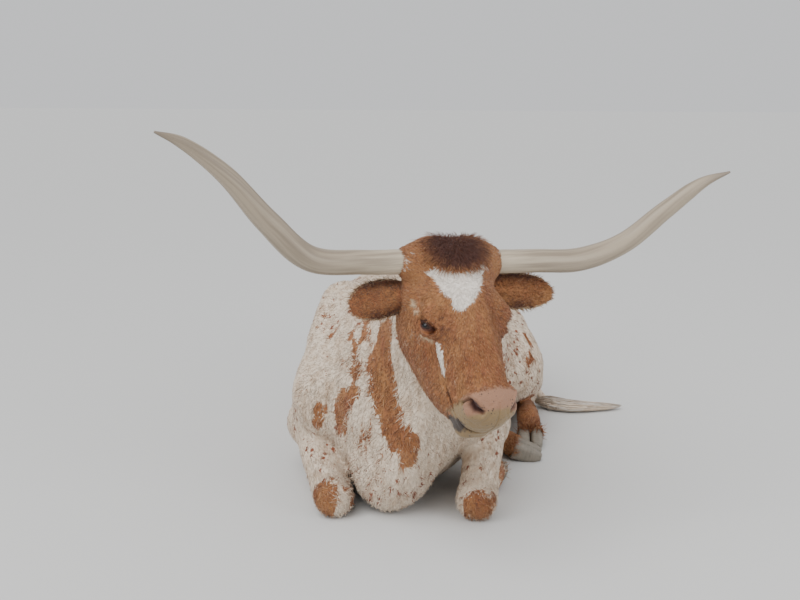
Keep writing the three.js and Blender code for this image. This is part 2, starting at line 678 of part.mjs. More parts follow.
// Colour, roughness and metalness of each kind of piece
const LOOKS = [
  [/^head/, 0x8c4c28, 0.85],
  [/^ear/, 0x74401f, 0.9],
  [/^eye/, 0x1a120d, 0.15],
  [/^horn/, 0xb3a893, 0.5],
  [/^claw/, 0x7d776c, 0.6],
  [/^tail_switch/, 0xd9ceb6, 0.9],
  [/./, 0xdccdb9, 0.9],
];
function materialOf(name) {
  const [, color, roughness] = LOOKS.find(([pattern]) => pattern.test(name));
  return new THREE.MeshStandardMaterial({ color, roughness, metalness: 0 });
}

// The origin is under the middle of the whole animal, on the ground.
const animal = new THREE.Group();
for (const [name, solid] of Object.entries(solids)) {
  const welded = solidOf(geometryOf(largestOf(solid)));
  const mesh = new THREE.Mesh(geometryOf(largestOf(welded)), materialOf(name));
  mesh.name = name;
  animal.add(mesh);
}
const extent = new THREE.Box3().setFromObject(animal, true);
const middle = extent.getCenter(new THREE.Vector3());
animal.position.set(-middle.x, -middle.y, -extent.min.z);

export default animal;
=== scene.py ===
import math

import bmesh
import bpy
import numpy as np
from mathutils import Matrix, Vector


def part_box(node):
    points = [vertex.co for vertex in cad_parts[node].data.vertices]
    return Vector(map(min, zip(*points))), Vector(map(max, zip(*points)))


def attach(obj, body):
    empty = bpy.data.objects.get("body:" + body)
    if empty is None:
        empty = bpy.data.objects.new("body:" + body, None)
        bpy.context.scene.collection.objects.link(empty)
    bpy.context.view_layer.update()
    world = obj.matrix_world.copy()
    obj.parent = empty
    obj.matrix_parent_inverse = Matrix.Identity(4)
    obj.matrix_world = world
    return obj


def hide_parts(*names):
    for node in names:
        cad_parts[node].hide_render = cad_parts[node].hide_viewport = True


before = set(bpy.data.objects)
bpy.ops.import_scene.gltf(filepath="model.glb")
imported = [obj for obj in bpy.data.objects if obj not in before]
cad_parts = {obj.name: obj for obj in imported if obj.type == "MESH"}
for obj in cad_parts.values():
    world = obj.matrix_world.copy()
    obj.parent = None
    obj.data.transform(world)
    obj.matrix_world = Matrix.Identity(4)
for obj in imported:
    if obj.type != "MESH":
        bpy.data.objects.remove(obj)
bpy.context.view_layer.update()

# Flesh of a Texas longhorn lying on its brisket, head raised and turned to its left. It is one
# smooth field of blended limbs in the animal's own millimetres: +X its left, -Y the way it points.
BACK_HEIGHT = 700
BARREL_HALF_WIDTH = 385
HEAD_AT = np.array([254.0, -691.0, 920.0])
JAW_SHIFT = -13
BLEND_REACH = 160
HEAD_REACH = 620
KNEE_RIGHT = [-126, -548, 56]
KNEE_LEFT = [316, -512, 56]
ELBOW_RIGHT = [-272, -208, 180]
ELBOW_LEFT = [322, -190, 196]
FORE_CORONET_RIGHT = [-224, -238, 34]
FORE_CORONET_LEFT = [352, -200, 34]
HOCK_LEFT = [430, 560, 56]
HIND_CORONET_LEFT = [470, 158, 52]
HIND_CORONET_RIGHT = [424, -6, 44]


def head_axes(yaw=29.5, pitch=52, roll=-7):
    """Rows point to the animal's left, down the face and out of the face."""
    yaw, pitch, roll = (math.radians(angle) for angle in (yaw, pitch, roll))
    level = np.array([math.cos(yaw), math.sin(yaw), 0])
    ahead = np.array([math.sin(yaw), -math.cos(yaw), 0])
    down = ahead * math.cos(pitch) - np.array([0, 0, math.sin(pitch)])
    out = np.cross(down, level)
    left = level * math.cos(roll) + out * math.sin(roll)
    return np.array([left, down, out * math.cos(roll) - level * math.sin(roll)])


head_turn = head_axes()


def on_head(points):
    return HEAD_AT + np.asarray(points, float) @ head_turn


def in_head(points):
    return (points - HEAD_AT) @ head_turn.T


def blended(a, b, soft):
    near = np.maximum(soft - np.abs(a - b), 0) / soft
    return np.minimum(a, b) - near * near * soft / 4


def limb(stations, side=(1, 0, 0), power=2, soft=40, ends=None):
    """Stations are x, y, z, half width, half height. ends is the direction of a flat end."""
    stations = np.array(stations, float)
    last = len(stations) - 1
    fine = []
    for i in range(last):
        before, a, b, after = (stations[min(max(j, 0), last)] for j in (i - 1, i, i + 1, i + 2))
        for t in (0, 0.25, 0.5, 0.75):
            bend = 2 * before - 5 * a + 4 * b - after
            turn = 3 * (a - b) + after - before
            fine.append(a + 0.5 * t * (b - before + t * (bend + t * turn)))
    fine.append(stations[last])
    reach = stations[:, 3:].max() + BLEND_REACH
    return {"fine": fine, "side": np.array(side, float), "power": power, "soft": soft,
            "ends": None if ends is None else np.array(ends, float),
            "way": stations[last, :3] - stations[0, :3],
            "low": stations[:, :3].min(0) - reach, "high": stations[:, :3].max(0) + reach}


def limb_value(part, points):
    """Distance outside one limb, negative inside."""
    value = np.full(len(points), 1e6)
    for a, b in zip(part["fine"], part["fine"][1:]):
        length = max(np.linalg.norm(b[:3] - a[:3]), 1e-3)
        along = (b[:3] - a[:3]) / length
        side = part["side"] - along * (part["side"] @ along)
        side /= np.linalg.norm(side)
        local = points - a[:3]
        run = local @ along
        t = np.clip(run / length, 0, 1)
        wide, high = (a[k] + (b[k] - a[k]) * t for k in (3, 4))
        over = 2 * np.abs(run - t * length) / (wide + high)
        across = np.abs(local @ side) / wide
        up = np.abs(local @ np.cross(along, side)) / high
        if part["power"] == 2:
            total = np.sqrt(across * across + up * up + over * over)
        else:
            power = part["power"]
            total = (across ** power + up ** power + over ** power) ** (1 / power)
        value = blended(value, (total - 1) * np.minimum(wide, high), 6)
    if part["ends"] is not None:
        value = -blended(-value, -((points - part["fine"][-1][:3]) @ part["ends"]), 8)
    return value


def field_value(parts, points):
    """Distance outside several limbs that run smoothly into one another."""
    value = np.full(len(points), 1e6)
    for part in parts:
        near = np.all((points >= part["low"]) & (points <= part["high"]), axis=1)
        if near.any():
            value[near] = blended(value[near], limb_value(part, points[near]), part["soft"])
    return value


def both_sides(stations, shift=0, **options):
    """A limb and its mirror image, the pair moved sideways by a shift."""
    pair = [[[hand * l + shift, *rest] for l, *rest in stations] for hand in (1, -1)]
    return [limb(stations, **options) for stations in pair]


head_limbs = [
    limb([[0, 76, -96, 116, 70], [0, 124, -110, 124, 104], [0, 200, -124, 116, 124],
          [0, 265, -125, 106, 122], [0, 335, -115, 90, 106], [0, 405, -104, 76, 92],
          [0, 455, -92, 68, 76], [0, 478, -90, 62, 60]], power=2.3, soft=20),
    limb([[0, 62, -62, 86, 40], [0, 90, -66, 96, 44]]),
    limb([[-8, 470, -66, 52, 50], [8, 470, -66, 52, 50]], side=(0, 1, 0), soft=30),
    limb([[JAW_SHIFT - 24, 507, -151, 30, 27], [JAW_SHIFT + 24, 507, -151, 30, 27]],
         side=(0, 1, 0), soft=16),
    *both_sides([[70, 50, -66, 60, 58], [126, 54, -63, 44, 42]], side=(0, 1, 0), soft=44),
    *both_sides([[94, 186, -52, 26, 24], [114, 226, -54, 25, 22], [100, 268, -62, 20, 18]], soft=26),
    *both_sides([[103, 236, -77, 30, 29], [103, 244, -77, 30, 29]], soft=18),
    *both_sides([[84, 130, -150, 44, 64], [88, 215, -180, 46, 70], [70, 320, -180, 38, 58],
                 [56, 400, -168, 34, 46]], soft=40, shift=JAW_SHIFT / 2),
    *both_sides([[44, 250, -222, 34, 36], [32, 400, -186, 30, 32], [24, 480, -150, 26, 24]],
                soft=34, shift=JAW_SHIFT),
    *both_sides([[46, 464, -44, 30, 28], [52, 484, -68, 27, 26]], soft=20),
    *both_sides([[44, 462, -100, 34, 26], [38, 490, -102, 30, 22]], soft=22),
    *both_sides([[84, 128, -104, 30, 30], [122, 130, -112, 27, 25]], side=(0, 1, 0), soft=26),
]
trunk_limbs = [
    limb([[50, -440, 262, 112, 165], [42, -340, 300, 205, 255], [32, -180, 312, 278, 318],
          [28, 0, 315, 330, 328], [30, 180, 310, 360, 325], [33, 360, 300, BARREL_HALF_WIDTH - 8, 318],
          [38, 520, 290, 350, 302], [44, 680, 280, 292, 286], [44, 790, 268, 226, 256],
          [44, 860, 262, 158, 205]], power=2.35),
    limb([[40, -200, BACK_HEIGHT - 72, 60, 62], [28, -40, BACK_HEIGHT - 52, 62, 52],
          [26, 150, BACK_HEIGHT - 92, 60, 50], [32, 420, BACK_HEIGHT - 122, 62, 50],
          [42, 660, BACK_HEIGHT - 128, 70, 50], [46, 840, BACK_HEIGHT - 205, 52, 50]], soft=90),
    limb([[-170, 640, 470, 60, 50], [-110, 860, 330, 80, 80]], soft=90),
    limb([[225, 620, 535, 60, 50], [170, 860, 350, 80, 80]], soft=90),
    limb([[-178, -60, 540, 70, 110], [-196, -330, 320, 88, 115]], side=(0.9, -0.3, 0.3), soft=80),
    limb([[240, -60, 540, 70, 110], [274, -330, 320, 92, 115]], side=(0.9, 0.3, -0.3), soft=80),
    limb([[50, -470, 124, 118, 118], [44, -492, 112, 104, 108]], soft=70),
]
neck_limbs = [
    limb([[20, -150, 470, 190, 215], [62, -330, 515, 155, 205], [126, -480, 600, 116, 172],
          [186, -575, 690, 102, 140], [216, -618, 746, 96, 116]], side=(0.95, 0.25, 0), soft=80),
    limb([[198, -600, 570, 38, 56], [170, -586, 450, 34, 66], [126, -566, 320, 42, 74],
          [80, -540, 190, 60, 80]], side=(0.92, 0.38, 0), soft=70),
]
leg_limbs = [
    limb([[-196, -330, 320, 88, 115], [*ELBOW_RIGHT, 80, 88]], soft=70),
    limb([[*ELBOW_RIGHT, 76, 80], [-200, -380, 114, 66, 66], [*KNEE_RIGHT, 62, 62]], soft=30),
    limb([[*KNEE_RIGHT, 54, 54], [-160, -420, 36, 38, 40], [-192, -320, 38, 44, 44],
          [*FORE_CORONET_RIGHT, 42, 38]], soft=16, ends=(0, 1, 0)),
    limb([[274, -330, 320, 92, 115], [*ELBOW_LEFT, 80, 88]], soft=70),
    limb([[*ELBOW_LEFT, 78, 80], [320, -346, 124, 64, 66], [*KNEE_LEFT, 62, 62]], soft=26),
    limb([[*KNEE_LEFT, 54, 54], [330, -390, 36, 38, 40], [346, -290, 38, 44, 44],
          [*FORE_CORONET_LEFT, 42, 38]], soft=16, ends=(0, 1, 0)),
    limb([[170, 640, 400, 130, 150], [310, 430, 320, 130, 150], [384, 285, 262, 122, 132]], soft=80),
    limb([[386, 290, 250, 118, 128], [420, 430, 165, 96, 100], [*HOCK_LEFT, 58, 62]], soft=40),
    limb([[*HOCK_LEFT, 52, 52], [444, 400, 62, 37, 42], [460, 248, 76, 42, 44],
          [*HIND_CORONET_LEFT, 44, 44], [472, 124, 46, 47, 42]], soft=16, ends=(0, -1, 0)),
    limb([[-110, 660, 300, 140, 160], [-300, 320, 170, 120, 140], [-240, 520, 90, 100, 90]], soft=80),
    limb([[250, 130, 50, 40, 40], [340, 62, 54, 44, 44], [*HIND_CORONET_RIGHT, 44, 42]], side=(0, 1, 0),
         soft=16, ends=(1, 0, 0)),
]
TAIL_END = [530, 575, 22]
tail_limbs = [
    limb([[46, 930, 425, 40, 40], [56, 1030, 350, 33, 33], [92, 1075, 190, 28, 28], [190, 1040, 50, 25, 25],
          [350, 915, 22, 21, 21], [470, 750, 21, 20, 20], [514, 645, 21, 18, 18], [*TAIL_END, 16, 16]],
         side=(1, 0.4, 0), soft=14),
]
body_limbs = trunk_limbs + neck_limbs + leg_limbs + tail_limbs


def flesh(points):
    """Distance outside the whole animal, without its ears, horns and claws."""
    value = field_value(body_limbs, points)
    near = np.linalg.norm(points - on_head([0, 240, -100]), axis=1) < HEAD_REACH
    if near.any():
        value[near] = blended(value[near], field_value(head_limbs, in_head(points[near])), 60)
    return value


# Skin: one closed sheet over the flesh, lying inside it by the depth of the coat and pressed flat
# on the ground. A grid net gives the sheet, the head and feet are split finer, and all is settled.
COAT_DEPTH = 4
GROUND = 1.0
GRID = 13
COARSE = 4
NEAR_SKIN = 46
low = np.array([-520.0, -1020.0, -40.0])
high = np.array([610.0, 1130.0, 1010.0])


def skin_value(points):
    return -blended(-(flesh(points) + COAT_DEPTH), points[:, 2] - GROUND, 14)


def tents(count, step):
    """Weights that spread coarse samples linearly over a fine row."""
    fine = np.arange(count) / step
    return np.maximum(0, 1 - np.abs(fine[:, None] - np.arange(math.ceil(count / step) + 1)))


def grid_points(shape, size):
    grid = np.stack(np.meshgrid(*(np.arange(n) for n in shape), indexing="ij"), axis=-1)
    return low + size * grid.reshape(-1, 3)


def samples():
    """Values on the fine grid, worked out in full only near the skin."""
    shape = [int(n) for n in np.ceil((high - low) / GRID)]
    spread = [tents(n, COARSE) for n in shape]
    rough = skin_value(grid_points([s.shape[1] for s in spread], GRID * COARSE))
    rough = rough.reshape([s.shape[1] for s in spread])
    values = np.einsum("ia,jb,kc,abc->ijk", *spread, rough, optimize=True).ravel()
    near = np.abs(values) < NEAR_SKIN
    values[near] = skin_value(grid_points(shape, GRID)[near])
    return values.reshape(shape)


def net(values):
    """One vertex in each cell that the surface crosses, one face across each crossed grid edge."""
    corners = np.array([[c & 1, (c >> 1) & 1, c >> 2] for c in range(8)])
    cells = [n - 1 for n in values.shape]
    near = [values[a:a + cells[0], b:b + cells[1], c:c + cells[2]] for a, b, c in corners]
    inside = sum((v < 0).astype(int) for v in near)
    active = np.nonzero((inside > 0) & (inside < 8))
    v = np.stack([n[active] for n in near], axis=1)
    total = np.zeros((len(v), 3))
    count = np.zeros((len(v), 1))
    for c in range(8):
        for d in (c | 1, c | 2, c | 4):
            if c == d:
                continue
            crossed = (v[:, c] < 0) != (v[:, d] < 0)
            t = np.where(crossed, v[:, c] / np.where(crossed, v[:, c] - v[:, d], 1), 0)[:, None]
            total += np.where(crossed[:, None], corners[c] + t * (corners[d] - corners[c]), 0)
            count += crossed[:, None]
    points = low + GRID * (np.stack(active, axis=1) + total / count)
    number = np.full(cells, -1)
    number[active] = np.arange(len(points))
    faces = []
    for m in range(3):
        ahead = np.roll(values, -1, axis=m) < 0
        here = values < 0
        keep = tuple(slice(1, n - 1) for n in values.shape)
        i = np.argwhere((here != ahead)[keep]) + 1
        step_p, step_q = np.eye(3, dtype=int)[(m + 1) % 3], np.eye(3, dtype=int)[(m + 2) % 3]
        steps_back = (step_p + step_q, step_q, 0 * step_p, step_p)
        ring = np.stack([number[tuple((i - back).T)] for back in steps_back], axis=1)
        turned = ~here[tuple(i.T)]
        ring[turned] = ring[turned, ::-1]
        faces.append(ring)
    return points, np.concatenate(faces)


def slope_of(value, points):
    here = value(points)
    return here, np.stack([value(points + np.eye(3)[k]) - here for k in range(3)], axis=1)


def settled(points, value, times=2, most=GRID / 2):
    """Moves points along the slope of a field until they lie where it is nought."""
    for _ in range(times):
        here, slope = slope_of(value, points)
        step = -here / np.maximum((slope ** 2).sum(1), 0.04)
        points = points + np.clip(step, -most, most)[:, None] * slope
    return points


def near_head(points, place, reach):
    return np.linalg.norm(in_head(points) - np.array(place), axis=1) < reach


EYE_AT = np.array([109, 240, -77])
NOSTRIL = [[74, 462], [69, 479], [58, 495], [42, 506]]


def finer(made, chosen):
    """Splits each edge whose two ends are both chosen."""
    points = np.array([v.co for v in made.verts])
    keep = chosen(points)
    edges = [e for e in made.edges if keep[e.verts[0].index] and keep[e.verts[1].index]]
    bmesh.ops.subdivide_edges(made, edges=edges, cuts=1, use_grid_fill=True)
    made.verts.index_update()


def about_limbs(points):
    legs = (points[:, 2] < 130) & (points[:, 1] < 640) & ((points[:, 1] < -180) | (points[:, 0] > 300))
    neck = (points[:, 1] < -420) & (points[:, 2] > 130)
    tail = (points[:, 1] > 900) | ((points[:, 0] > 400) & (points[:, 1] > 560) & (points[:, 2] < 60))
    return legs | neck | tail | near_head(points, [0, 240, -110], 400)


def about_face(points):
    place = in_head(points)
    return near_head(points, [0, 260, -110], 330) & (place[:, 1] > 20) & (place[:, 2] > -300)


def about_features(points):
    place = np.abs(in_head(points))
    eyes = np.linalg.norm(place - np.abs(EYE_AT), axis=1) < 46
    return eyes | ((in_head(points)[:, 1] > 430) & near_head(points, [0, 470, -100], 120))


def about_rims(points):
    place = in_head(points)
    apart = [np.linalg.norm(place - EYE_AT * [hand, 1, 1], axis=1) for hand in (1, -1)]
    return np.minimum(*apart) < 35


def smooth_step(value, start, end):
    t = np.clip((value - start) / (end - start), 0, 1)
    return t * t * (3 - 2 * t)


def bumps(points, size, seed, ways=9):
    """Smooth lumps of about a given size, between -1 and 1."""
    draw = np.random.default_rng(seed)
    total = np.zeros(len(points))
    for _ in range(ways):
        way = draw.normal(size=3)
        way *= 2 * math.pi / size / np.linalg.norm(way) * draw.uniform(0.6, 1.3)
        total += np.sin(points @ way + draw.uniform(0, 6.28))
    return total / ways ** 0.5 / 1.4


skin_points, skin_faces = net(samples())
skin_points = settled(skin_points, skin_value)
made = bmesh.new()
for point in skin_points:
    made.verts.new(point)
made.verts.ensure_lookup_table()
made.verts.index_update()
for face in skin_faces:
    made.faces.new([made.verts[i] for i in face])
for chosen in (about_limbs, about_face, about_features, about_rims):
    finer(made, chosen)
bmesh.ops.triangulate(made, faces=[f for f in made.faces if len(f.verts) > 4])
skin_points = settled(np.array([v.co for v in made.verts]), skin_value, most=8)
skin_faces = [[v.index for v in f.verts] for f in made.faces]
made.free()
_, skin_out = slope_of(skin_value, skin_points)
skin_out /= np.linalg.norm(skin_out, axis=1)[:, None] + 1e-9


# Eyes in their lids. The skin is drawn over each ball as two thick lids with a crease above them,
# and inside the almond opening it drops behind the ball.
EYE_RADIUS = 21
LID = 2.4
LID_HALF_LENGTH = 18
LID_HALF_HEIGHT = 8.5


def eye_axes(hand):
    """Rows point along the lids to the front corner, up across them, and out of the eye."""
    out = np.array([hand * 0.9, 0.08, 0.42])
    along = np.array([0, 0.66, 0.60])
    out /= np.linalg.norm(out)
    along -= out * (along @ out)
    along /= np.linalg.norm(along)
    up = np.cross(out, along) * hand
    return np.array([along, up if up[1] < 0 else -up, out])


def eye_place(points, hand):
    return (in_head(points) - EYE_AT * [hand, 1, 1]) @ eye_axes(hand).T


def lid_distance(place):
    power = 1.7
    across = np.abs(place[:, 0]) / LID_HALF_LENGTH
    upward = np.abs(place[:, 1] + 0.02 * place[:, 0]) / LID_HALF_HEIGHT
    return ((across ** power + upward ** power) ** (1 / power) - 1) * LID_HALF_HEIGHT


for hand in (1, -1):
    place = eye_place(skin_points, hand)
    radius = np.hypot(place[:, 0], place[:, 1])
    rim = lid_distance(place)
    over_ball = np.sqrt(np.maximum((EYE_RADIUS + LID) ** 2 - radius ** 2, 0))
    behind = np.sqrt(np.maximum((EYE_RADIUS - 3) ** 2 - radius ** 2, 0)) - 1
    crease = -1.6 * np.exp(-((rim - 7.5) / 1.6) ** 2) * (place[:, 1] > 0)
    swell = 1.3 * np.exp(-((rim - 2.2) / 1.8) ** 2)
    lid = over_ball + crease + swell
    wanted = np.where(rim < 0, behind + (lid - behind) * smooth_step(rim, -1.4, 0), lid)
    share = (1 - smooth_step(rim, 7, 15)) * (place[:, 2] > 0) * (radius < 40)
    wanted = place[:, 2] + share * (wanted - place[:, 2])
    bags = 1.1 * np.sin(rim * 0.62) * smooth_step(rim, 9, 13)
    bags = bags * (1 - smooth_step(rim, 22, 34)) * (place[:, 2] > 0)
    move = (wanted - place[:, 2] + bags)[:, None] * (eye_axes(hand)[2] @ head_turn)
    skin_points = skin_points + move


# Nostrils and mouth: two comma shaped pits in a bare pad, and a line between lips that turns up
# behind the pad.
NOSTRIL_DEPTH = 17
LIP_DEPTH = 9
GROOVE_DEPTH = 2.4


def path_distance(points, path):
    """Distance to a path of straight runs, and the share of the way along it."""
    path = np.array(path, float)
    best = np.full(len(points), 1e9)
    share = np.zeros(len(points))
    for i, (a, b) in enumerate(zip(path, path[1:])):
        run = b - a
        t = np.clip((points - a) @ run / (run @ run), 0, 1)
        apart = np.linalg.norm(points - a - t[:, None] * run, axis=1)
        closer = apart < best
        best[closer] = apart[closer]
        share[closer] = ((i + t) / (len(path) - 1))[closer]
    return best, share


skin_head = in_head(skin_points)
push = np.zeros(len(skin_points))
pit = np.full(len(skin_points), 60.0)
for hand in (1, -1):
    front = skin_head[:, 2] > -75
    away, share = path_distance(skin_head[:, :2], [[hand * l, a] for l, a in NOSTRIL])
    half = 3.2 + 4.6 * np.sin(math.pi * np.clip(share, 0, 1)) ** 1.2 + 2 * share
    away = np.where(front, away - half, 60)
    pit = np.minimum(pit, away)
    push -= NOSTRIL_DEPTH * (1 - smooth_step(away, -half, 0.6)) * front
    push += 3.2 * np.exp(-((away - 5) / 4.5) ** 2) * front
mouth_height = -123 + 6 * np.exp(-((skin_head[:, 1] - 400) / 30) ** 2)
lip = skin_head[:, 2] - mouth_height
lip_here = smooth_step(skin_head[:, 1], 385, 410)
# Strength of the painted shade along the mouth line between the lips.
mouth_line_shade = 0.95 * np.exp(-(lip / 4.2) ** 2) * lip_here
push -= LIP_DEPTH * np.exp(-(lip / 2.6) ** 2) * lip_here
push += 3.0 * np.exp(-((lip + 9) / 6) ** 2) * lip_here + 2.0 * np.exp(-((lip - 9) / 6) ** 2) * lip_here
groove = np.exp(-(skin_head[:, 0] / 2.6) ** 2) * (skin_head[:, 1] > 488) * (skin_head[:, 2] > -118)
push -= GROOVE_DEPTH * groove * smooth_step(skin_head[:, 1], 484, 500)

# Folds: upright pleats down the neck and dewlap, wrinkles over the eyes and on the muzzle, a hint of
# ribs on the barrel, and loose skin at the flank.
neck_line = [[126, -480, 600], [186, -575, 690], [120, -570, 330], [60, -520, 190]]
from_neck, _ = path_distance(skin_points, neck_line)
hide = smooth_step(field_value(head_limbs, skin_head), 6, 70)
neck_here = (1 - smooth_step(from_neck, 130, 260)) * hide
pleat = skin_points[:, 0] * 0.9 - skin_points[:, 1] * 0.35 + 16 * bumps(skin_points, 260, 4)
push += neck_here * 4.2 * (np.abs(np.sin(pleat / 26)) - 0.6) * (0.55 + 0.45 * bumps(skin_points, 300, 5))
barrel = smooth_step(skin_points[:, 1], -60, 120) * (1 - smooth_step(skin_points[:, 1], 380, 520))
barrel *= smooth_step(skin_points[:, 2], 180, 320) * (1 - smooth_step(skin_points[:, 2], 560, 640))
push += barrel * 3.0 * np.sin((skin_points[:, 1] + 0.35 * skin_points[:, 2]) / 8.6 / 1.4)
push += 2.2 * bumps(skin_points, 150, 6) * smooth_step(-skin_head[:, 2], 150, 330)
muzzle_here = smooth_step(skin_head[:, 1], 395, 440) * smooth_step(skin_head[:, 2], -150, -110)
push += muzzle_here * 0.5 * bumps(skin_points, 13, 7)
face_here = smooth_step(-field_value(head_limbs, skin_head), -8, 8)
push += face_here * 1.1 * bumps(skin_points, 46, 8) * (1 - muzzle_here)
FACE_FORMS = [
    ([[64, 222, -14], [58, 268, -22]], 22, -7.5), ([[72, 300, -38], [58, 380, -34]], 16, -3.5),
    ([[34, 240, -2], [30, 330, -10], [34, 400, -22]], 15, 3.5), ([[98, 196, -44], [120, 214, -52]], 14, 4.5),
    ([[96, 300, -86], [84, 370, -98]], 16, 4.5), ([[84, 330, -140], [74, 400, -130]], 24, -4.5),
    ([[112, 170, -96], [112, 140, -90]], 24, -6), ([[100, 280, -150], [88, 220, -180]], 34, 4),
]
for path, reach, height in FACE_FORMS:
    for hand in (1, -1):
        away, _ = path_distance(skin_head, np.array(path, float) * [hand, 1, 1])
        push += height * np.exp(-(away / reach) ** 2)
push *= smooth_step(skin_points[:, 2], 0, 16)
skin_points = skin_points + push[:, None] * skin_out
skin_points[:, 2] = np.maximum(skin_points[:, 2], GROUND)


# Ears: thin cups of skin and gristle that stand out sideways, swept from a round root to a blunt tip.
EAR_HALF_WIDTH = 55
EARS = {-1: {"tip": [-292, 134, -168], "length": 188}, 1: {"tip": [322, 142, -92], "length": 230}}
EAR_DROOP = [0, -5, -3, 6]
EAR_WIDE = [0.5, 0.58, 0.76, 0.9, 0.98, 1, 0.98, 0.91, 0.74, 0.36]
EAR_THICK = [24, 19, 12, 8, 6, 5, 4.5, 4, 3, 2]
EAR_CUP = [6, 18, 32, 36, 35, 32, 27, 20, 12, 4]


def ear_root(hand):
    return np.array([hand * 100.0, 128, -106])


def curve_of(path, shares):
    """Points and directions along a smooth curve that passes through every point of the path."""
    path = np.array(path, float)
    ends = [2 * path[0] - path[1], *path, 2 * path[-1] - path[-2]]
    points, ways = [], []
    for share in shares:
        place = share * (len(path) - 1)
        i = min(int(place), len(path) - 2)
        t = place - i
        before, a, b, after = ends[i:i + 4]
        gaps = [max(np.linalg.norm(q - p), 1e-4) ** 0.5 for p, q in ((before, a), (a, b), (b, after))]
        first = ((a - before) / gaps[0] - (b - before) / (gaps[0] + gaps[1]) + (b - a) / gaps[1]) * gaps[1]
        last = ((b - a) / gaps[1] - (after - a) / (gaps[1] + gaps[2]) + (after - b) / gaps[2]) * gaps[1]
        square, cube = 3 * (b - a) - 2 * first - last, 2 * (a - b) + first + last
        points.append(a + t * (first + t * (square + t * cube)))
        way = first + t * (2 * square + 3 * t * cube)
        ways.append(way / np.linalg.norm(way))
    return np.array(points), np.array(ways)


def between_values(values, share):
    return np.interp(share, np.linspace(0, 1, len(values)), values)


def swept(path, wide, thick, side, rings, spokes, power=2.0, dish=None, ridges=None):
    """A closed tapering bar along a curve. Returns points, faces, share along and angle round."""
    shares = np.linspace(0, 1, rings + 1)
    centre, way = curve_of(path, shares)
    points, along, around = [], [], []
    for i, share in enumerate(shares):
        across = side - way[i] * (side @ way[i])
        across /= np.linalg.norm(across)
        up = np.cross(across, way[i])
        angle = np.linspace(0, 2 * math.pi, spokes, endpoint=False)
        x, z = np.sin(angle), np.cos(angle)
        square = (np.abs(x) ** power + np.abs(z) ** power) ** (-1 / power)
        x, z = x * square, z * square
        swell = 1 if ridges is None else 1 + ridges(share, angle)
        lift = 0 if dish is None else dish(share) * x ** 2
        ring = centre[i] + np.outer(x * wide(share) * swell, across)
        points.append(ring + np.outer(z * thick(share) * swell + lift, up))
        along.append(np.full(spokes, share))
        around.append(angle)
    points = [np.concatenate(points), centre[:1], centre[-1:]]
    index = np.arange((rings + 1) * spokes).reshape(rings + 1, spokes)
    following = np.roll(index, -1, axis=1)
    faces = np.stack([index[:-1], index[1:], following[1:], following[:-1]], axis=-1)
    faces = faces.reshape(-1, 4).tolist()
    first, last = (rings + 1) * spokes, (rings + 1) * spokes + 1
    faces += [[first, a, b] for a, b in zip(index[0], following[0])]
    faces += [[last, b, a] for a, b in zip(index[-1], following[-1])]
    along = np.append(np.concatenate(along), [0, 1])
    around = np.append(np.concatenate(around), [0, 0])
    return np.concatenate(points), faces, along, around


def ear_shape(hand):
    base = ear_root(hand)
    tip = np.array(EARS[hand]["tip"], float)
    reach = EARS[hand]["length"] / np.linalg.norm(tip - base)
    path = [on_head(base + (tip - base) * t * reach + [0, droop, 0])
            for t, droop in zip([0, 0.3, 0.65, 1], EAR_DROOP)]
    points, faces, along, around = swept(
        path, lambda t: EAR_HALF_WIDTH * between_values(EAR_WIDE, t) - 2,
        lambda t: between_values(EAR_THICK, t) - 0.8, np.array([0, 0.93, -0.36]) @ head_turn,
        70, 72, dish=lambda t: -hand * between_values(EAR_CUP, t))
    crinkle = 1.2 * np.sin(around * 9 + 3 * along) * np.exp(-((along - 0.35) / 0.2) ** 2)
    return points + crinkle[:, None] * head_turn[2], faces, along, around


ear_along = np.full(len(skin_points), -1.0)
ear_inside = np.zeros(len(skin_points))
ear_cross = np.zeros(len(skin_points))
skin_ear = np.zeros(len(skin_points))
for hand in (-1, 1):
    points, faces, along, around = ear_shape(hand)
    count = len(skin_points)
    skin_points = np.concatenate([skin_points, points])
    skin_faces = skin_faces + [[i + count for i in face] for face in faces]
    ear_along = np.concatenate([ear_along, along])
    ear_inside = np.concatenate([ear_inside, smooth_step(-hand * np.cos(around), -0.1, 0.3)])
    ear_cross = np.concatenate([ear_cross, np.abs(np.sin(around))])
    skin_ear = np.concatenate([skin_ear, np.full(len(points), hand)])
skin_is_ear = ear_along >= 0
skin_head = in_head(skin_points)

# Marks of the coat, as smooth amounts on the skin: a brown hood and neck streaks on cream, a jagged
# white forehead mark, dark poll hair, bare pink muzzle, and how closely the small spots stand.
BLAZE = [[-103, 110], [-85, 101], [-62, 105], [-50, 118], [-37, 122], [-14, 124], [14, 115], [49, 94],
         [72, 86], [62, 112], [45, 144], [27, 176], [1, 206], [-28, 224], [-41, 234], [-54, 214],
         [-61, 189], [-73, 165], [-79, 148], [-92, 120]]
CHEEK_STREAK = [[-101, 297, -72], [-94, 325, -82], [-90, 367, -97]]
# Path of darker maroon hair and painted shade of the hollow between the eyes.
EYE_SIDE_HAIR_AND_SHADE = [[-89, 250, -32], [-88, 291, -43]]
PALE_HAIRS = [([[-131, 165, -93], [-130, 187, -95]], 12), ([[-138, 206, -60], [-131, 206, -90]], 7),
              ([[-128, 254, -112], [-121, 270, -100], [-112, 284, -86]], 9)]
SMOKE_PATCH = [[-74, 478, -160], [-71, 491, -153], [-64, 506, -128]]
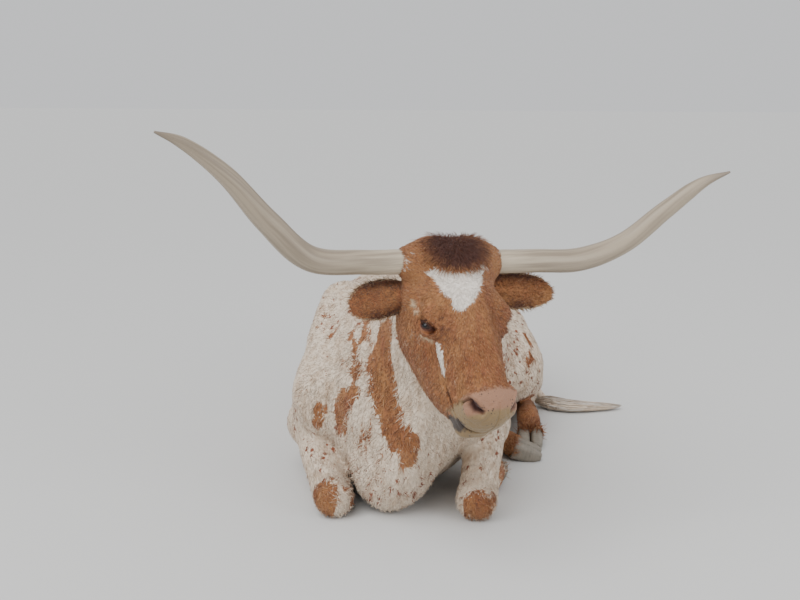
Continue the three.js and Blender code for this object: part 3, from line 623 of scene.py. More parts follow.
NECK_STREAKS = [
    ([[36, -561, 600], [23, -555, 509], [35, -574, 422], [59, -600, 338], [80, -618, 285]], 44),
    ([[-24, -413, 669], [-37, -452, 604], [-50, -484, 533], [-71, -511, 454]], 13),
    ([[-96, -409, 559], [-63, -481, 516], [-50, -520, 440]], 15),
    ([[-60, -540, 400], [-110, -509, 362], [-111, -507, 280]], 30),
    ([[-190, -467, 311], [-193, -456, 257]], 20),
    ([[105, -627, 318], [128, -636, 300], [123, -625, 215]], 24),
    ([[-120, -330, 640], [-170, -330, 520]], 9),
    ([[-215, -240, 560], [-240, -300, 430]], 8),
    ([[285, -480, 560], [300, -430, 430], [290, -420, 320]], 26),
    ([[441, 250, 387], [465, 230, 355], [463, 187, 310]], 11),
]
OTHER_PATCHES = [
    ([[-330, 120, 520], [-366, 170, 400]], 60), ([[-330, 420, 500], [-390, 480, 380], [-370, 430, 300]], 74),
    ([[-240, 700, 430], [-220, 800, 330]], 58), ([[150, 760, 500], [230, 820, 380]], 52),
    ([[330, 560, 470], [390, 500, 400]], 40), ([[60, 200, 640], [130, 330, 600]], 46),
    ([[-280, -20, 420], [-320, 60, 330]], 30), ([[400, 60, 360], [398, 20, 260]], 22),
]
LEG_PATCHES = [
    ([KNEE_RIGHT, [-150, -590, 70]], 56), ([KNEE_LEFT, [330, -560, 60]], 52),
    ([[346, -290, 38], FORE_CORONET_LEFT], 56), ([[-192, -320, 38], FORE_CORONET_RIGHT], 52),
    ([[460, 300, 76], HIND_CORONET_LEFT], 72), ([[330, 70, 54], HIND_CORONET_RIGHT], 66),
    ([HOCK_LEFT, [440, 500, 60]], 50),
]
STREAKED_NECK = [[-10, -430, 660], [-40, -480, 540], [-40, -530, 400], [20, -580, 290]]


def inside_outline(points, outline):
    """Distance inside a closed outline, in its own plane; negative outside."""
    outline = np.array(outline, float)
    away, _ = path_distance(points, [*outline, outline[0]])
    inside = np.zeros(len(points), bool)
    for a, b in zip(outline, np.roll(outline, -1, axis=0)):
        crosses = (a[1] > points[:, 1]) != (b[1] > points[:, 1])
        reach = (b[0] - a[0]) * (points[:, 1] - a[1]) / (b[1] - a[1] + 1e-9) + a[0]
        inside ^= crosses & (points[:, 0] < reach)
    return np.where(inside, away, -away)


def patches(points, places):
    """Distance inside the nearest of several marks, each a path and its half width."""
    best = np.full(len(points), -200.0)
    for path, half in places:
        away, _ = path_distance(points, path)
        best = np.maximum(best, half - away)
    return best


def as_amount(inside, span=60):
    """Turns millimetres inside a mark's edge into an amount that is a half at the edge."""
    return np.clip(0.5 + inside / span, 0, 1)


def outside_lids(hand):
    """Distance outside the almond opening of one eye, and far for what lies behind the eye."""
    place = eye_place(skin_points, hand)
    return np.where(place[:, 2] > 0, np.maximum(lid_distance(place) - 0.5, 0), 60)


head_distance = field_value(head_limbs, skin_head)
head_distance[skin_is_ear] = -20
crest = smooth_step(skin_head[:, 1], -30, 0)
hood = np.where(skin_head[:, 2] > -60, 22 - head_distance, 14 - head_distance)
hood = hood * crest - 20 * (1 - crest)
streaked, _ = path_distance(skin_points, STREAKED_NECK)
streaked = -7 - 26 * smooth_step(streaked, 60, 210)
brown = np.maximum.reduce([
    hood, patches(skin_points, NECK_STREAKS), patches(skin_points, OTHER_PATCHES), streaked,
    patches(skin_points, LEG_PATCHES) - 3])
amounts = {"brown": as_amount(brown, 80)}
front = (skin_head[:, 2] > -60) & (head_distance < 30)
blaze = np.where(front, inside_outline(skin_head[:, :2], BLAZE), -60)
streak, _ = path_distance(skin_head, CHEEK_STREAK)
from_horns = [np.linalg.norm((skin_head - [hand * 128, 56, -62]) * [0.9, 1, 1], axis=1) for hand in (1, -1)]
horn_rings = np.where(skin_is_ear, -60, 34 - np.minimum(*from_horns)) * 0.5
amounts["white"] = as_amount(np.maximum.reduce([blaze, 6.5 - streak, horn_rings]))
pad_top = 446 + 0.10 * np.abs(skin_head[:, 0])
pad = np.minimum(skin_head[:, 1] - pad_top, skin_head[:, 2] + 150)
lower = np.minimum(skin_head[:, 1] - 470, -118 - skin_head[:, 2])
bare = np.where(skin_is_ear | (head_distance > 30), -60, np.maximum(pad, lower))
amounts["bare"] = as_amount(bare)
poll = 62 - np.linalg.norm((skin_head - [-6, 44, -20]) * [0.70, 1, 0.8], axis=1)
rims = np.minimum(outside_lids(1), outside_lids(-1))
# Painted shade inside each ear cup: the inner face is darkened near the root and along its inner edges, where
# the cup shades itself.
ear_inner_edge_shade = np.exp(-((ear_cross - 0.72) / 0.17) ** 2) * (1 - smooth_step(ear_along, 0.6, 0.9))
ear_base_shade = 1 - smooth_step(ear_along, 0.24, 0.5)
ear_cup_shade = np.where(skin_is_ear, 44 * ear_inside * np.maximum(ear_base_shade, ear_inner_edge_shade) - 7, -60)
right_side = skin_head.copy()
right_side[:, 0] = -np.abs(right_side[:, 0])
# Darker beside each eye towards the middle of the face: partly darker maroon hair, partly painted shade of
# the hollow between the eyes.
hair_and_shade_by_eyes, _ = path_distance(right_side, EYE_SIDE_HAIR_AND_SHADE)
dark = np.maximum.reduce([poll, (4.6 - rims) * 7, ear_cup_shade, 8 - 0.35 * hair_and_shade_by_eyes])
amounts["dark"] = as_amount(dark)
ear_edge = 14 * smooth_step(ear_cross, 0.84, 0.97) - 7
pale_hairs = np.where(skin_is_ear, ear_edge, patches(right_side, PALE_HAIRS))
amounts["pale"] = as_amount(pale_hairs, 14)
low_pad = np.maximum(skin_head[:, 1] - 503, -66 - skin_head[:, 2])
amounts["low_pad"] = as_amount(low_pad, 40)
spotted = 0.45 + 0.35 * smooth_step(skin_points[:, 1], -700, 200) + 0.25 * bumps(skin_points, 420, 21)
amounts["spotted"] = np.clip(spotted * (head_distance > 20), 0, 1)
smoke, _ = path_distance(skin_head, SMOKE_PATCH)
amounts["smoke"] = as_amount(18 - smoke)
# Painted shade in the nostril pits and along the mouth line between the lips, kept as the pit amount.
painted_pit_shade = np.maximum(0.5 - pit / 16, mouth_line_shade)
amounts["pit"] = np.clip(np.append(painted_pit_shade, np.zeros(len(skin_points) - len(pit))), 0, 1)
amounts["tip"] = np.full(len(skin_points), 0.25)
amounts["shade"] = np.full(len(skin_points), 0.5)

# Lie of the coat: down the face from a whorl between the eyes, back along the neck and body, and
# down each leg.
WHORL = 158


def lie_of(points):
    head = in_head(points)
    on_face = np.stack([head[:, 0] / 95, np.tanh((head[:, 1] - WHORL) / 45), 0 * head[:, 0]], axis=1)
    cheek = smooth_step(-head[:, 2], 90, 160)[:, None]
    on_face = on_face * (1 - cheek) + np.array([0, 0.5, -0.9]) * cheek
    total = 0.4 * np.tile([0.0, 0.8, -0.75], (len(points), 1))
    for part in leg_limbs[1:3] + leg_limbs[4:9] + leg_limbs[10:] + tail_limbs:
        share = np.exp(-np.maximum(limb_value(part, points) + COAT_DEPTH, 0) / 12)[:, None]
        way = part["way"] / np.linalg.norm(part["way"])
        total = total * (1 - share) + way * share
    share = smooth_step(-field_value(head_limbs, head), -40, -5)[:, None]
    return total * (1 - share) + (on_face @ head_turn) * share


skin_lie = lie_of(skin_points)
for hand in (-1, 1):
    tip = on_head(EARS[hand]["tip"]) - on_head(ear_root(hand))
    skin_lie[skin_ear == hand] = tip / np.linalg.norm(tip)


# Coat colours, shared by the skin and every tuft: each point is coloured by where its root stands,
# so that hair and skin carry the same marks.
CREAM = (0.70, 0.585, 0.46, 1)
CREAM_SHADE = (0.53, 0.395, 0.28, 1)
BROWN = (0.235, 0.072, 0.034, 1)
FACE_BROWN = (0.255, 0.098, 0.034, 1)
ORANGE_BROWN = (0.34, 0.155, 0.058, 1)
DARK_BROWN = (0.078, 0.025, 0.015, 1)
BLAZE_WHITE = (0.78, 0.71, 0.63, 1)
SPOT = (0.12, 0.062, 0.045, 1)
PAD_PINK = (0.30, 0.155, 0.092, 1)
PAD_TAN = (0.24, 0.16, 0.076, 1)
PALE_TAN = (0.52, 0.38, 0.24, 1)
LIGHT_TAN = (0.48, 0.27, 0.13, 1)
SMOKE = (0.05, 0.037, 0.03, 1)
# Colour of the painted shade in the nostril pits and along the mouth line.
PIT_SHADE = (0.05, 0.018, 0.014, 1)


class Finish:
    """One material, built node by node."""

    def __init__(self, name):
        self.material = bpy.data.materials.new(name)
        self.material.use_nodes = True
        self.tree = self.material.node_tree
        self.shader = self.tree.nodes["Principled BSDF"]

    def fill(self, socket, value):
        if isinstance(value, bpy.types.NodeSocket):
            self.tree.links.new(value, socket)
        else:
            socket.default_value = value

    def node(self, kind, output=0, settings=None, **inputs):
        made = self.tree.nodes.new("ShaderNode" + kind)
        for key, value in (settings or {}).items():
            setattr(made, key, value)
        for key, value in inputs.items():
            self.fill(made.inputs[key.replace("_", " ")], value)
        return made.outputs[output]

    def amount(self, name, output="Fac"):
        return self.node("Attribute", output, {"attribute_name": name})

    def work(self, operation, *values):
        made = self.tree.nodes.new("ShaderNodeMath")
        made.operation = operation
        for i, value in enumerate(values):
            self.fill(made.inputs[i], value)
        return made.outputs[0]

    def step(self, value, start, end, to=1.0):
        return self.node("MapRange", settings={"interpolation_type": "SMOOTHSTEP"}, Value=value,
                         From_Min=start, From_Max=end, To_Min=0.0, To_Max=to)

    def mixed(self, share, a, b, blend="MIX"):
        made = self.tree.nodes.new("ShaderNodeMix")
        made.data_type = "RGBA"
        made.blend_type = blend
        for i, value in ((0, share), (6, a), (7, b)):
            self.fill(made.inputs[i], value)
        return made.outputs[2]

    def noise(self, place, scale, detail=3.0, stretch=None):
        if stretch:
            place = self.node("Mapping", Vector=place, Scale=stretch)
        return self.node("TexNoise", Vector=place, Scale=scale, Detail=detail)


def coat_finish(name, bump):
    made = Finish(name)
    root = made.amount("root", "Vector")
    streaky = made.noise(root, 42.0, 5.0, (1.0, 1.0, 0.22))
    ragged = made.noise(root, 95.0, 4.0)
    cloudy = made.noise(root, 9.0, 3.0)

    def edged(amount, noise, wander, start=0.47, end=0.53):
        shifted = made.work("MULTIPLY", made.work("SUBTRACT", noise, 0.5), wander)
        return made.step(made.work("ADD", made.amount(amount), shifted), start, end)

    brown = edged("brown", streaky, 0.95)
    cream = made.mixed(made.step(streaky, 0.40, 0.72), CREAM, CREAM_SHADE)
    cell = made.node("TexVoronoi", 0, Vector=root, Scale=46.0)
    chance = made.node("TexVoronoi", 1, Vector=root, Scale=46.0)
    chance = made.node("SeparateColor", 0, Color=chance)
    size = made.step(made.work("ADD", chance, made.amount("spotted")), 1.02, 1.62)
    size = made.work("MULTIPLY", size, 0.42)
    apart = made.work("ADD", cell, made.work("MULTIPLY", ragged, 0.12))
    speck = made.step(made.work("SUBTRACT", size, apart), -0.06, 0.03)
    cream = made.mixed(speck, cream, made.mixed(chance, SPOT, BROWN))
    fine = made.node("TexVoronoi", 0, Vector=root, Scale=120.0)
    crowd = made.work("ADD", made.noise(root, 16.0), made.work("MULTIPLY", made.amount("spotted"), 0.3))
    small = made.work("MULTIPLY", made.step(fine, 0.32, 0.20), made.step(crowd, 0.68, 0.76))
    cream = made.mixed(small, cream, BROWN)
    one_hair = made.amount("shade")
    cream = made.mixed(made.step(one_hair, 0.10, 0.0, 0.35), cream, BROWN)
    warm = made.mixed(made.step(cloudy, 0.35, 0.66), FACE_BROWN, ORANGE_BROWN)
    warm = made.mixed(made.step(streaky, 0.35, 0.75, 0.5), warm, BROWN)
    warm = made.mixed(made.step(one_hair, 0.70, 0.98, 0.55), warm, LIGHT_TAN)
    warm = made.mixed(made.step(one_hair, 0.25, 0.0, 0.5), warm, DARK_BROWN)
    patchy = made.step(made.noise(root, 30.0), 0.48, 0.58)
    fleck = made.work("MULTIPLY", made.step(fine, 0.36, 0.24), patchy)
    fleck = made.work("MULTIPLY", fleck, made.step(made.amount("brown"), 0.78, 0.60))
    warm = made.mixed(fleck, warm, CREAM)
    colour = made.mixed(brown, cream, warm)
    # Dark brown over the dark amount: dark poll hair and lid rims, painted shade inside the ear cups, and
    # darker hair with painted shade beside the eyes.
    colour = made.mixed(edged("dark", ragged, 1.1, 0.42, 0.95), colour, DARK_BROWN)
    colour = made.mixed(edged("pale", ragged, 1.1, 0.35, 0.85), colour, PALE_TAN)
    colour = made.mixed(edged("white", ragged, 0.34), colour, BLAZE_WHITE)
    pad = made.mixed(edged("low_pad", cloudy, 1.2, 0.35, 0.65), PAD_PINK, PAD_TAN)
    gathered = made.step(made.noise(root, 22.0), 0.48, 0.56)
    freckle = made.work("MULTIPLY", made.step(fine, 0.28, 0.20), gathered)
    pad = made.mixed(freckle, pad, SMOKE)
    bare = edged("bare", ragged, 0.60, 0.36, 0.64)
    colour = made.mixed(bare, colour, pad)
    colour = made.mixed(edged("smoke", ragged, 0.5, 0.38, 0.6), colour, SMOKE)
    # Painted shade in the nostril pits and along the mouth line.
    colour = made.mixed(made.step(made.amount("pit"), 0.42, 0.85), colour, PIT_SHADE)
    lightness = made.work("ADD", made.work("MULTIPLY", made.amount("shade"), 0.34),
                          made.work("MULTIPLY", made.amount("tip"), 0.34))
    lightness = made.work("ADD", lightness, 0.70)
    grey = made.node("CombineColor", Red=lightness, Green=lightness, Blue=lightness)
    colour = made.mixed(1.0, colour, grey, "MULTIPLY")
    made.fill(made.shader.inputs["Base Color"], colour)
    roughness = made.work("SUBTRACT", 0.80, made.work("MULTIPLY", bare, 0.28))
    made.fill(made.shader.inputs["Roughness"], roughness)
    made.shader.inputs["Sheen Weight"].default_value = 0.12
    made.shader.inputs["Sheen Roughness"].default_value = 0.5
    made.shader.inputs["Specular IOR Level"].default_value = 0.3
    if bump:
        hair = made.noise(root, 420.0, 3.0, (1.0, 1.0, 0.35))
        pebble = made.node("TexVoronoi", 0, Vector=root, Scale=260.0)
        relief = made.node("Mix", 0, {"data_type": "FLOAT"}, Factor=bare, A=hair, B=pebble)
        normal = made.node("Bump", Strength=0.55, Distance=0.002, Height=relief)
        made.fill(made.shader.inputs["Normal"], normal)
    return made.material


skin_finish = coat_finish("coat on skin", bump=True)
hair_finish = coat_finish("coat hair", bump=False)

# The skin as one object, with its own unwrap for baking and the amounts above on its points.
eye_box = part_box("eye_left")
shift = (np.array(eye_box[0]) + np.array(eye_box[1])) / 2 - on_head(EYE_AT) / 1000
shift[2] = 0
FLESH_NODES = [
    "head", "neck", "torso", "foreleg_right_upper", "foreleg_right_lower", "foreleg_left_upper",
    "foreleg_left_lower", "hindleg_right_upper", "hindleg_right_lower", "hindleg_left_upper",
    "hindleg_left_lower", "tail", "ear_right", "ear_left"]


def piece(name, points, faces, material):
    """A mesh object from points in the animal's millimetres."""
    mesh = bpy.data.meshes.new(name)
    placed = points / 1000 + shift
    if isinstance(faces, np.ndarray):
        mesh.vertices.add(len(placed))
        mesh.vertices.foreach_set("co", placed.astype(np.float32).ravel())
        mesh.loops.add(faces.size)
        mesh.loops.foreach_set("vertex_index", faces.astype(np.int32).ravel())
        mesh.polygons.add(len(faces))
        starts = np.arange(0, faces.size, faces.shape[1], dtype=np.int32)
        mesh.polygons.foreach_set("loop_start", starts)
        mesh.update(calc_edges=True)
    else:
        mesh.from_pydata(placed.tolist(), [], faces)
    mesh.polygons.foreach_set("use_smooth", np.full(len(mesh.polygons), True))
    made = bpy.data.objects.new(name, mesh)
    bpy.context.scene.collection.objects.link(made)
    mesh.materials.append(material)
    return made


def carry(made, values):
    """Puts amounts and root places on a mesh's points, for its material."""
    for name, value in values.items():
        vector = value.ndim == 2
        kept = made.data.attributes.new(name, "FLOAT_VECTOR" if vector else "FLOAT", "POINT")
        kept.data.foreach_set("vector" if vector else "value", value.astype(np.float32).ravel())


skin = piece("skin", skin_points, skin_faces, skin_finish)
carry(skin, {"root": skin_points / 1000, **amounts})
bpy.context.view_layer.objects.active = skin
skin.select_set(True)
bpy.ops.object.mode_set(mode="EDIT")
bpy.ops.mesh.select_all(action="SELECT")
bpy.ops.uv.smart_project(angle_limit=math.radians(66), island_margin=0.002)
bpy.ops.object.mode_set(mode="OBJECT")
skin.data.uv_layers[0].name = "OFBake"
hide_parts(*FLESH_NODES)
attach(skin, "root")

# Short coat: flat, pointed tufts that lie along the coat and overlap, sparse copies of the fur that
# the skin's fine relief stands for elsewhere, in one piece for each region.
TUFTS = 9000
BAKE_PATCH = 0.003

skin.data.calc_loop_triangles()
triangle_count = len(skin.data.loop_triangles)
corners = np.empty(triangle_count * 3, np.int32)
skin.data.loop_triangles.foreach_get("vertices", corners)
corners = corners.reshape(-1, 3)
corner_loops = np.empty(triangle_count * 3, np.int32)
skin.data.loop_triangles.foreach_get("loops", corner_loops)
corner_loops = corner_loops.reshape(-1, 3)
unwrap = np.empty(len(skin.data.loops) * 2, np.float32)
skin.data.uv_layers["OFBake"].data.foreach_get("uv", unwrap)
unwrap = unwrap.reshape(-1, 2)
face_sides = skin_points[corners]
face_out = np.cross(face_sides[:, 1] - face_sides[:, 0], face_sides[:, 2] - face_sides[:, 0])
face_area = np.linalg.norm(face_out, axis=1) / 2
face_out /= 2 * face_area[:, None] + 1e-9
point_out = np.zeros_like(skin_points)
for k in range(3):
    np.add.at(point_out, corners[:, k], face_out * face_area[:, None])
point_out /= np.linalg.norm(point_out, axis=1)[:, None] + 1e-9


def roots(weight, count, seed):
    """Random places on the skin, by a weight at each of its points."""
    draw = np.random.default_rng(seed)
    share = face_area * weight[corners].mean(1)
    chosen = draw.choice(len(share), count, p=share / share.sum())
    a, b = draw.random((2, count, 1))
    over = a + b > 1
    a, b = np.where(over, 1 - a, a), np.where(over, 1 - b, b)
    shares = np.concatenate([1 - a - b, a, b], axis=1)

    def at_roots(values):
        got = values[corners[chosen]]
        return np.einsum("nk,nk...->n...", shares, got)

    found = {"root": at_roots(skin_points), "out": at_roots(point_out), "lie": at_roots(skin_lie),
             "bake": np.einsum("nk,nkd->nd", shares, unwrap[corner_loops[chosen]]), "draw": draw,
             "amounts": {name: at_roots(value) for name, value in amounts.items()}}
    found["out"] /= np.linalg.norm(found["out"], axis=1)[:, None]
    return found


def tuft_ways(found, spread):
    """Direction along the coat and across it, with some scatter."""
    lie = found["lie"] + found["draw"].normal(0, spread, found["lie"].shape)
    lie -= found["out"] * (lie * found["out"]).sum(1)[:, None]
    lie /= np.linalg.norm(lie, axis=1)[:, None] + 1e-9
    return lie, np.cross(found["out"], lie)


def coat_piece(name, found, paths, across, half_wide, half_thick):
    """Locks of three sides along paths of (count, rings, 3), each closing to a point."""
    count, rings, _ = paths.shape
    way = np.gradient(paths, axis=1)
    lifted = np.cross(way, across[:, None, :])
    lifted /= np.linalg.norm(lifted, axis=2)[:, :, None] + 1e-9
    wide = across[:, None, :] * half_wide[:, :, None]
    thick = lifted * half_thick[:, :, None]
    sides = np.stack([paths + wide, paths + thick, paths - wide], axis=2)[:, :-1]
    points = np.concatenate([sides.reshape(count, -1, 3), paths[:, -1:]], axis=1)
    each = points.shape[1]
    index = np.arange((rings - 1) * 3).reshape(rings - 1, 3)
    faces = []
    for a, b in zip(index, index[1:]):
        for k in range(3):
            near, far = (k + 1) % 3, k
            faces += [[a[far], a[near], b[near]], [a[far], b[near], b[far]]]
    faces += [[index[-1][k], index[-1][(k + 1) % 3], each - 1] for k in range(3)]
    faces.append([index[0][2], index[0][1], index[0][0]])
    faces = np.array(faces)
    all_faces = (faces[None] + each * np.arange(count)[:, None, None]).reshape(-1, 3)
    points = points.reshape(-1, 3)
    points[:, 2] = np.maximum(points[:, 2], 0.3)
    made = piece(name, points, all_faces, hair_finish)
    tip = np.append(np.repeat(np.linspace(0, 1, rings)[:-1], 3), 1.0)
    shade = found["draw"].random(count)
    values = {key: np.repeat(value, each) for key, value in found["amounts"].items()}
    values.update(tip=np.tile(tip, count), shade=np.repeat(shade, each))
    carry(made, {"root": np.repeat(found["root"] / 1000, each, axis=0), **values})
    turn = np.linspace(0, 2 * math.pi, each, endpoint=False)
    patch = BAKE_PATCH / 2 * np.stack([np.cos(turn), np.sin(turn)], axis=1)
    bake = (found["bake"][:, None] + patch[None]).reshape(-1, 2)
    layer = made.data.uv_layers.new(name="OFBake")
    layer.data.foreach_set("uv", bake[all_faces.ravel()].astype(np.float32).ravel())
    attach(made, "root")
    return made


def short_coat(name, weight, length, half, lift, seed, spread=0.12):
    found = roots(weight, TUFTS, seed)
    lie, across = tuft_ways(found, spread)
    reach = (length * found["draw"].uniform(0.7, 1.25, TUFTS))[:, None]
    rise = lift * found["draw"].uniform(0.6, 1.6, (TUFTS, 1))
    start = found["root"] - 1.2 * found["out"]
    middle = found["root"] + 0.5 * reach * lie + lift * found["out"]
    end = found["root"] + reach * lie + rise * found["out"]
    paths = np.stack([start, middle, end], axis=1)
    wide = np.tile([half, half * 0.75, 0], (TUFTS, 1))
    coat_piece(name, found, paths, across, wide, wide * 0.45)


on_ground = smooth_step(skin_points[:, 2], 4, 30)
hairless = 1 - smooth_step(amounts["bare"], 0.42, 0.55)
near_eye = np.linalg.norm(right_side - EYE_AT * [-1, 1, 1], axis=1)
open_eye = smooth_step(near_eye, 24, 30)
is_head = smooth_step(-head_distance, -20, 0) * (~skin_is_ear)
on_floor_tail = (skin_points[:, 0] > 400) & (skin_points[:, 1] > 590) & (skin_points[:, 2] < 60)
is_tail = (skin_points[:, 1] > 880) | on_floor_tail
facing = is_head * hairless * open_eye * (skin_head[:, 1] > 10)
is_neck = (skin_points[:, 1] < -250) * (1 - is_head) * (~skin_is_ear) * on_ground
is_body = (skin_points[:, 1] >= -250) * on_ground * (~is_tail)
on_ear = skin_is_ear * smooth_step(ear_along, 0.08, 0.2)
for part in range(3):
    short_coat(f"face_coat_{part}", facing, length=11, half=0.8, lift=1.3, seed=30 + part)
for part in range(3):
    short_coat(f"neck_coat_{part}", is_neck, length=14, half=1.15, lift=1.2, seed=40 + part)
for part in range(4):
    short_coat(f"body_coat_{part}", is_body, length=17, half=1.5, lift=1.4, seed=50 + part)
short_coat("ear_coat", on_ear, length=12, half=0.8, lift=1.6, seed=60, spread=0.2)


# Eyes: dark brown balls with a clear bulge in front and a long level pupil, wet all over.
EYE_FINE = 48
PUPIL = (0.004, 0.004, 0.006, 1)
IRIS = (0.018, 0.008, 0.005, 1)
IRIS_RAYS = (0.045, 0.020, 0.010, 1)
EYE_WHITE = (0.10, 0.06, 0.05, 1)
INSET = 0.4


def eye_finish():
    made = Finish("wet eye")
    across = made.amount("across")
    upward = made.amount("upward")

    def from_middle(across):
        squares = (made.work("POWER", across, 2.0), made.work("POWER", upward, 2.0))
        return made.work("SQRT", made.work("ADD", *squares))

    pupil = from_middle(made.work("MULTIPLY", across, 0.62))
    rays = made.noise(made.amount("root", "Vector"), 900.0)
    iris = made.mixed(rays, IRIS, IRIS_RAYS)
    colour = made.mixed(made.step(pupil, 0.20, 0.26), PUPIL, iris)
    colour = made.mixed(made.step(from_middle(across), 0.66, 0.74), colour, EYE_WHITE)
    made.fill(made.shader.inputs["Base Color"], colour)
    made.shader.inputs["Roughness"].default_value = 0.10
    made.shader.inputs["Specular IOR Level"].default_value = 0.3
    made.shader.inputs["Coat Weight"].default_value = 0.12
    made.shader.inputs["Coat Roughness"].default_value = 0.05
    return made.material


def eye_ball():
    """Points of a ball of radius 1, with the last two at its front and back, and its faces."""
    angle_up = np.linspace(0, math.pi, EYE_FINE // 2 + 1)[1:-1]
    angle_round = np.linspace(0, 2 * math.pi, EYE_FINE, endpoint=False)
    up, turn = np.meshgrid(angle_up, angle_round, indexing="ij")
    ball = np.stack([np.sin(up) * np.cos(turn), np.sin(up) * np.sin(turn), np.cos(up)], -1)
    ball = np.concatenate([ball.reshape(-1, 3), [[0, 0, 1], [0, 0, -1]]])
    index = np.arange(len(angle_up) * EYE_FINE).reshape(-1, EYE_FINE)
    following = np.roll(index, -1, axis=1)
    faces = np.stack([index[:-1], index[1:], following[1:], following[:-1]], -1).reshape(-1, 4).tolist()
    faces += [[len(ball) - 2, a, b] for a, b in zip(index[0], following[0])]
    faces += [[len(ball) - 1, b, a] for a, b in zip(index[-1], following[-1])]
    return ball, faces


wet_eye = eye_finish()
ball, faces = eye_ball()
swell = 1 + 0.07 * (1 - smooth_step(np.arccos(np.clip(ball[:, 2], -1, 1)), 0.30, 0.75))
for hand, node in ((-1, "eye_right"), (1, "eye_left")):
    centre = EYE_AT * [hand, 1, 1]
    points = on_head(centre + (ball * swell[:, None] * (EYE_RADIUS - INSET)) @ eye_axes(hand))
    eye = piece(node + "_ball", points, faces, wet_eye)
    carry(eye, {"across": ball[:, 0], "upward": ball[:, 1], "root": ball * 0.02})
    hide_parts(node)
    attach(eye, "root")

# Horns: long, smooth, tapering sheaths, pale at the head and darker to the tip, with fine streaks
# along them and faint rings of growth near the head.
HORN_RADIUS = 34
HORN_PATHS = {
    "horn_right": [on_head([-128, 54, -63]), [18, -797, 852], [-111, -868, 872], [-201, -945, 979],
                   [-282, -1025, 1105], [-365, -1091, 1187], [-417, -1125, 1213]],
    "horn_left": [on_head([128, 56, -66]), [469, -560, 823], [601, -491, 818], [725, -441, 860],
                  [845, -408, 956], [950, -379, 1034], [1028, -348, 1062]],
}
HORN_TAPER = {
    "horn_right": [1.02, 1, 0.99, 1, 1.02, 1.02, 0.98, 0.9, 0.79, 0.68, 0.56, 0.42, 0.26, 0.09],
    "horn_left": [1.02, 1, 1, 1, 1.02, 1.0, 0.93, 0.89, 0.84, 0.76, 0.66, 0.46, 0.28, 0.1],
}
HORN_ROOT = (0.50, 0.42, 0.31, 1)
HORN_MIDDLE = (0.36, 0.295, 0.215, 1)
HORN_TIP = (0.20, 0.16, 0.125, 1)
HORN_STREAK = (0.21, 0.165, 0.12, 1)
HORN_BAND = (0.55, 0.48, 0.375, 1)


def horn_finish():
    made = Finish("horn sheath")
    grain = made.amount("grain", "Vector")
    along = made.amount("along")
    streaks = made.noise(grain, 60.0, 5.0)
    bands = made.noise(grain, 14.0, 3.0)
    base = made.mixed(made.step(along, 0.02, 0.30), HORN_ROOT, HORN_MIDDLE)
    base = made.mixed(made.step(along, 0.80, 1.0), base, HORN_TIP)
    base = made.mixed(made.step(streaks, 0.38, 0.66, 0.75), base, HORN_STREAK)
    base = made.mixed(made.step(bands, 0.50, 0.72, 0.7), base, HORN_BAND)
    roughness = made.node("MapRange", Value=streaks, To_Min=0.36, To_Max=0.58)
    relief = made.node("Bump", Strength=0.35, Distance=0.0012, Height=streaks)
    made.fill(made.shader.inputs["Base Color"], base)
    made.fill(made.shader.inputs["Roughness"], roughness)
    made.fill(made.shader.inputs["Normal"], relief)
    return made.material


def horn_ridges(share, angle):
    rings = 0.012 * math.sin(share * 130) * math.exp(-share * 9)
    return rings + 0.008 * np.sin(angle * 11 + 5 * share) + 0.005 * np.sin(angle * 23 - 9 * share)


horn_sheath = horn_finish()
for node, path in HORN_PATHS.items():
    def sheath_radius(share):
        return HORN_RADIUS * between_values(HORN_TAPER[node], share) - INSET

    points, faces, along, around = swept(
        path, sheath_radius, sheath_radius, head_turn[1], 170, 56, ridges=horn_ridges)
    horn = piece(node + "_sheath", points, faces, horn_sheath)
    turn = around + 1.2 * along
    grain = np.stack([np.cos(turn) * 0.034, np.sin(turn) * 0.034, along * 0.05], axis=1)
    carry(horn, {"grain": grain, "along": along})
    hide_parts(node)
    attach(horn, "root")

# Claws: two horny toes to a foot, closed at a blunt point, with rings of growth round the wall.
CLAW_LENGTH = 88
CLAW_WIDTH = 44
CLAW_HEIGHT = 62
CLAW_WIDE = [0.97, 1, 1, 0.92, 0.6]
CLAW_HIGH = [1, 0.98, 0.86, 0.7, 0.42]
CLAW_GREY = (0.13, 0.115, 0.09, 1)
CLAW_PALE = (0.27, 0.235, 0.19, 1)
CLAW_RING = (0.33, 0.29, 0.24, 1)
FEET = {
    "fore_right": {"at": FORE_CORONET_RIGHT, "ahead": [-14, CLAW_LENGTH], "side": [1, 0, 0], "outer": -1},
    "fore_left": {"at": FORE_CORONET_LEFT, "ahead": [6, CLAW_LENGTH], "side": [1, 0, 0], "outer": 1},
    "hind_left": {"at": HIND_CORONET_LEFT, "ahead": [6, -CLAW_LENGTH], "side": [1, 0, 0], "outer": 1},
    "hind_right": {"at": HIND_CORONET_RIGHT, "ahead": [CLAW_LENGTH, 10], "side": [0, 1, 0], "outer": -1},
}
TOE_HEIGHT = 15


def claw_finish():
    made = Finish("claw horn")
    along = made.amount("along")
    place = made.amount("root", "Vector")
    rings = made.work("SINE", made.work("ADD", made.work("MULTIPLY", along, 60.0), made.noise(place, 40.0)))
    colour = made.mixed(made.noise(place, 60.0, 4.0), CLAW_GREY, CLAW_PALE)
    colour = made.mixed(made.step(rings, 0.2, 1.0, 0.12), colour, CLAW_RING)
    relief = made.node("Bump", Strength=0.25, Distance=0.001, Height=rings)
    made.fill(made.shader.inputs["Base Color"], colour)
    made.fill(made.shader.inputs["Normal"], relief)
    made.shader.inputs["Roughness"].default_value = 0.62
    return made.material


